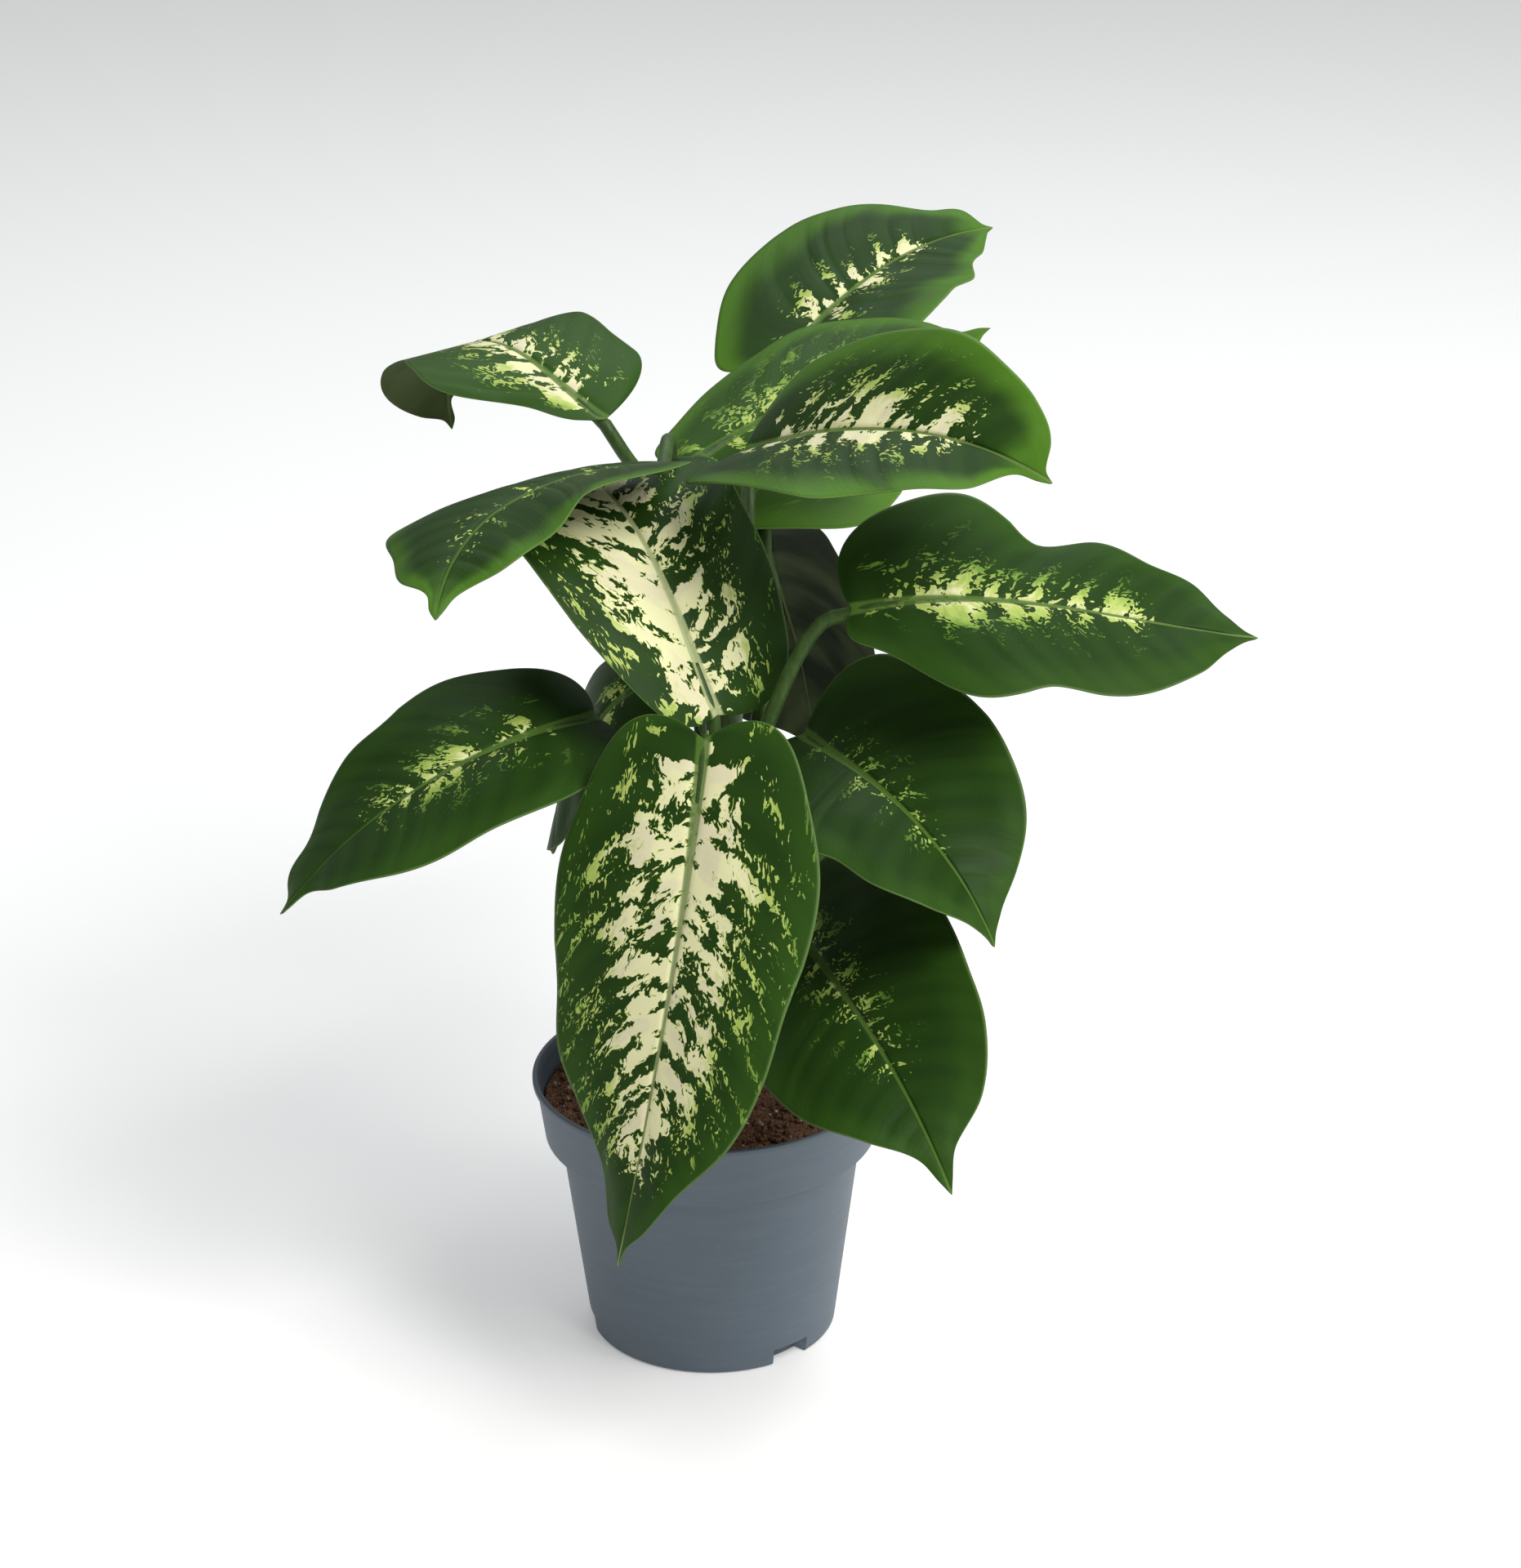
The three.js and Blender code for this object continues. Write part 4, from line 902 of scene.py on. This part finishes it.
def grains(count, sizes, sink, seed):
    """Loose irregular grains on the soil.

    Each is a ball whose vertices move in and out by a seeded draw, stretched along its three axes by another,
    turned about the upright and set into the height function by the share sink of its size.
    """
    draw = np.random.default_rng(seed)
    ball, faces = unit_ball()
    reach = (soil_edge() - GRAINS_OFF_RIM) * np.sqrt(draw.uniform(0, 1, count))
    heading = draw.uniform(0, 2 * np.pi, count)
    x, y = reach * np.cos(heading), reach * np.sin(heading)
    size = draw.uniform(*sizes, count)
    lumpy = ball[None] * draw.uniform(0.72, 1.2, (count, len(ball), 1))
    lumpy = lumpy * draw.uniform(0.7, 1.3, (count, 1, 3))
    turn = draw.uniform(0, 2 * np.pi, count)
    c, s = np.cos(turn)[:, None], np.sin(turn)[:, None]
    across, along, upward = np.moveaxis(lumpy, -1, 0)
    shape = np.stack([across * c - along * s, across * s + along * c, upward], -1)
    places = np.stack([x, y, soil_height(x, y) + size * (1 - sink)], -1)
    return joined(*[(points, faces) for points in places[:, None] + shape * size[:, None, None]])


# ---- Finishes of the rest ----


def pot_finish():
    """Matt blue-grey plastic with fine moulded grain, faint flow marks and a little lime and dust."""
    f = Finish("pot_plastic")
    place = f.object_place()
    grain = f.noise(place, 2.2, 3, 0.6)
    broad = f.noise(f.scaled(place, (0.02, 0.02, 0.035)), detail=2)
    marks = f.noise(f.scaled(place, (0.05, 0.05, 0.45)), detail=3)
    dust = f.step(f.noise(place, 0.32, 6, 0.7), 0.6, 0.78)
    colour = f.mix(broad, (0.077, 0.104, 0.132), (0.098, 0.128, 0.157))
    colour = f.mix(f.times(f.step(marks, 0.4, 0.7), 0.12), colour, (0.15, 0.18, 0.21))
    colour = f.mix(f.times(dust, 0.16), colour, (0.30, 0.31, 0.31))
    roughness = f.add(0.46, f.times(grain, 0.12), f.times(dust, 0.2))
    f.bump(f.add(grain, f.times(marks, 0.6)), 0.0001, 0.35)
    return f.done(Base_Color=colour, Roughness=roughness, Specular_IOR_Level=0.4)


def soil_finish():
    """Dark fibrous peat: brown crumbs over nearly black hollows, partly the peat's own dark colour and partly
    painted shade.
    """
    f = Finish("potting_soil")
    place = f.object_place()
    fine = f.noise(place, 1.6, 6, 0.7)
    coarse = f.noise(place, 0.25, 3)
    fibres = f.noise(f.scaled(place, (0.35, 1.6, 1)), detail=4, roughness=0.7)
    # Nearly black where the fine noise, and with it the bump, is low: painted shade in the hollows, over the
    # peat's own dark brown.
    colour = f.mix(f.step(fine, 0.38, 0.68), (0.030, 0.014, 0.008), (0.46, 0.24, 0.145))
    colour = f.mix(f.times(f.step(fibres, 0.56, 0.70), 0.7), colour, (0.55, 0.34, 0.22))
    colour = f.mix(f.times(f.step(coarse, 0.4, 0.7), 0.3), colour, (0.17, 0.09, 0.06))
    f.bump(f.add(fine, f.times(fibres, 0.5)), 0.0008, 1.0)
    return f.done(Base_Color=colour, Roughness=0.95, Specular_IOR_Level=0.1)


def perlite_finish():
    """Off-white foamed grains with a pitted surface and brown stains."""
    f = Finish("perlite")
    place = f.object_place()
    pits = f.cells(place, 2.4)
    stain = f.noise(place, 0.5, 4, 0.6)
    colour = f.mix(f.step(stain, 0.42, 0.68), (0.62, 0.60, 0.55), (0.24, 0.17, 0.12))
    f.bump(pits, 0.0004, 1.0)
    return f.done(Base_Color=colour, Roughness=0.9, Specular_IOR_Level=0.3)


def stalk_finish():
    """Dark green stalk with paler mottling and fine streaks drawn out along it, and a soft sheen."""
    f = Finish("stalk")
    place = f.object_place()
    mottle = f.noise(f.scaled(place, (0.3, 0.3, 0.09)), detail=4, roughness=0.6)
    streaks = f.noise(f.scaled(place, (1.1, 1.1, 0.12)), detail=3)
    colour = f.mix(f.step(mottle, 0.35, 0.65), (0.031, 0.068, 0.013), (0.050, 0.100, 0.020))
    colour = f.mix(f.times(f.step(streaks, 0.5, 0.7), 0.25), colour, (0.08, 0.14, 0.035))
    f.bump(f.add(streaks, f.times(mottle, 0.5)), 0.0002, 0.5)
    return f.done(Base_Color=colour, Roughness=0.42, Specular_IOR_Level=0.25)


def cane_finish():
    """Green cane with small pale pores, grey-brown cork towards the soil and a bright young top."""
    f = Finish("cane")
    place = f.object_place()
    young, height = f.attribute("young"), f.attribute("height")
    mottle = f.noise(f.scaled(place, (0.25, 0.25, 0.12)), detail=5, roughness=0.65)
    pores = f.step(f.cells(f.scaled(place, (0.5, 0.5, 1.1))), 0.16, 0.08)
    old = f.step(f.add(height, f.times(mottle, 60.0)), 190.0, 105.0)
    green = f.mix(f.step(mottle, 0.35, 0.65), (0.075, 0.135, 0.034), (0.130, 0.200, 0.060))
    cork = f.mix(f.step(mottle, 0.3, 0.7), (0.10, 0.085, 0.05), (0.22, 0.18, 0.11))
    colour = f.mix(old, green, cork)
    colour = f.mix(f.times(pores, 0.4), colour, (0.30, 0.26, 0.17))
    colour = f.mix(f.step(young, 0.0, 0.1), colour, f.mix(mottle, (0.12, 0.26, 0.04), (0.26, 0.42, 0.09)))
    f.bump(f.add(mottle, f.times(pores, -0.4)), 0.0004, 0.7)
    return f.done(Base_Color=colour, Roughness=0.5, Specular_IOR_Level=0.4)


# ---- Assembly ----

FLOOR_CORNERS = [(-8, -8), (8, -8), (8, 8), (-8, 8)]  # metres, as all lengths from here on
FLOOR_LEVEL = -0.0003
FLOOR_GLOW = 0.22
WORLD_COLOUR, WORLD_STRENGTH = (0.98, 0.99, 1.0, 1), 0.32
SOFT_BOXES = {  # place, target, side, watts and colour
    "key": ((0.85, -0.85, 1.6), (0, 0, 0.2), 0.9, 28, (1.0, 0.98, 0.95)),
    "sky": ((0.2, 1.1, 1.7), (0, 0, 0.25), 1.4, 12, (0.90, 0.95, 1.0)),
    "fill": ((1.5, -0.5, 0.9), (0, 0, 0.2), 1.2, 6, (1.0, 1.0, 1.0)),
}


def soft_box(name, place, target, size, power, colour):
    """A square area light at a place, turned to a target."""
    light = bpy.data.lights.new(name, "AREA")
    light.shape = "SQUARE"
    light.size = size
    light.energy = power
    light.color = colour
    made = placed(name, light)
    made.location = place
    made.rotation_euler = (Vector(target) - Vector(place)).to_track_quat("-Z", "Y").to_euler()


def stage_and_lights():
    """A pale floor that glows faintly like a light table, three soft boxes and a dim white surrounding."""
    mesh = bpy.data.meshes.new("floor")
    mesh.from_pydata([(x, y, FLOOR_LEVEL) for x, y in FLOOR_CORNERS], [], [(0, 1, 2, 3)])
    glow = dict(Emission_Color=(1, 1, 1), Emission_Strength=FLOOR_GLOW)
    mesh.materials.append(Finish("floor").done(Base_Color=(0.93, 0.93, 0.92), Roughness=0.75, **glow))
    placed("floor", mesh)

    for name, box in SOFT_BOXES.items():
        soft_box(name, *box)
    world = bpy.data.worlds.new("studio")
    world.use_nodes = True
    background = world.node_tree.nodes["Background"]
    background.inputs["Color"].default_value = WORLD_COLOUR
    background.inputs["Strength"].default_value = WORLD_STRENGTH
    bpy.context.scene.world = world
    bpy.context.scene.view_settings.view_transform = "Standard"


def camera():
    """The camera at the viewer's place, looking down and turned a little about its line of sight."""
    data = bpy.data.cameras.new("camera")
    data.sensor_fit = "AUTO"
    data.sensor_width = SENSOR_WIDTH
    data.lens = LENS
    data.clip_end = 60
    forward = Vector((0, math.cos(CAMERA_PITCH), -math.sin(CAMERA_PITCH)))
    level = Vector((1, 0, 0))
    over = Vector((0, math.sin(CAMERA_PITCH), math.cos(CAMERA_PITCH)))
    right = level * math.cos(CAMERA_ROLL) + over * math.sin(CAMERA_ROLL)
    up = over * math.cos(CAMERA_ROLL) - level * math.sin(CAMERA_ROLL)
    turned = Matrix((right, up, -forward)).transposed().to_4x4()
    made = placed("camera", data)
    made.matrix_world = Matrix.Translation(CAMERA_PLACE) @ turned
    bpy.context.scene.camera = made


camera()
stage_and_lights()

piece("pot_body", pot(), pot_finish(), ["pot"])
peat = soil_finish()
piece("soil_bed", soil(), peat, ["soil"])
piece("soil_crumbs", grains(900, (0.4, 1.3), 0.55, 11), peat, [])
piece("perlite_grains", grains(240, (0.25, 0.8), 0.4, 12), perlite_finish(), [])

cane_skin = cane_finish()
for name, shoot in SHOOTS.items():
    shell, values = cane(shoot)
    piece(name.replace("stem", "cane"), shell, cane_skin, [name], values)

stalk_skin = stalk_finish()
for number, (name, leaf) in enumerate(LEAVES.items()):
    shell, values = blade(leaf, LOOKS[name].relief, 10 * number)
    place = name.replace("leaf_", "")
    piece("blade_" + place, shell, leaf_finish(name, LOOKS[name], number), [name], values)
    piece("stalk_" + place, stalk(leaf), stalk_skin, [name])
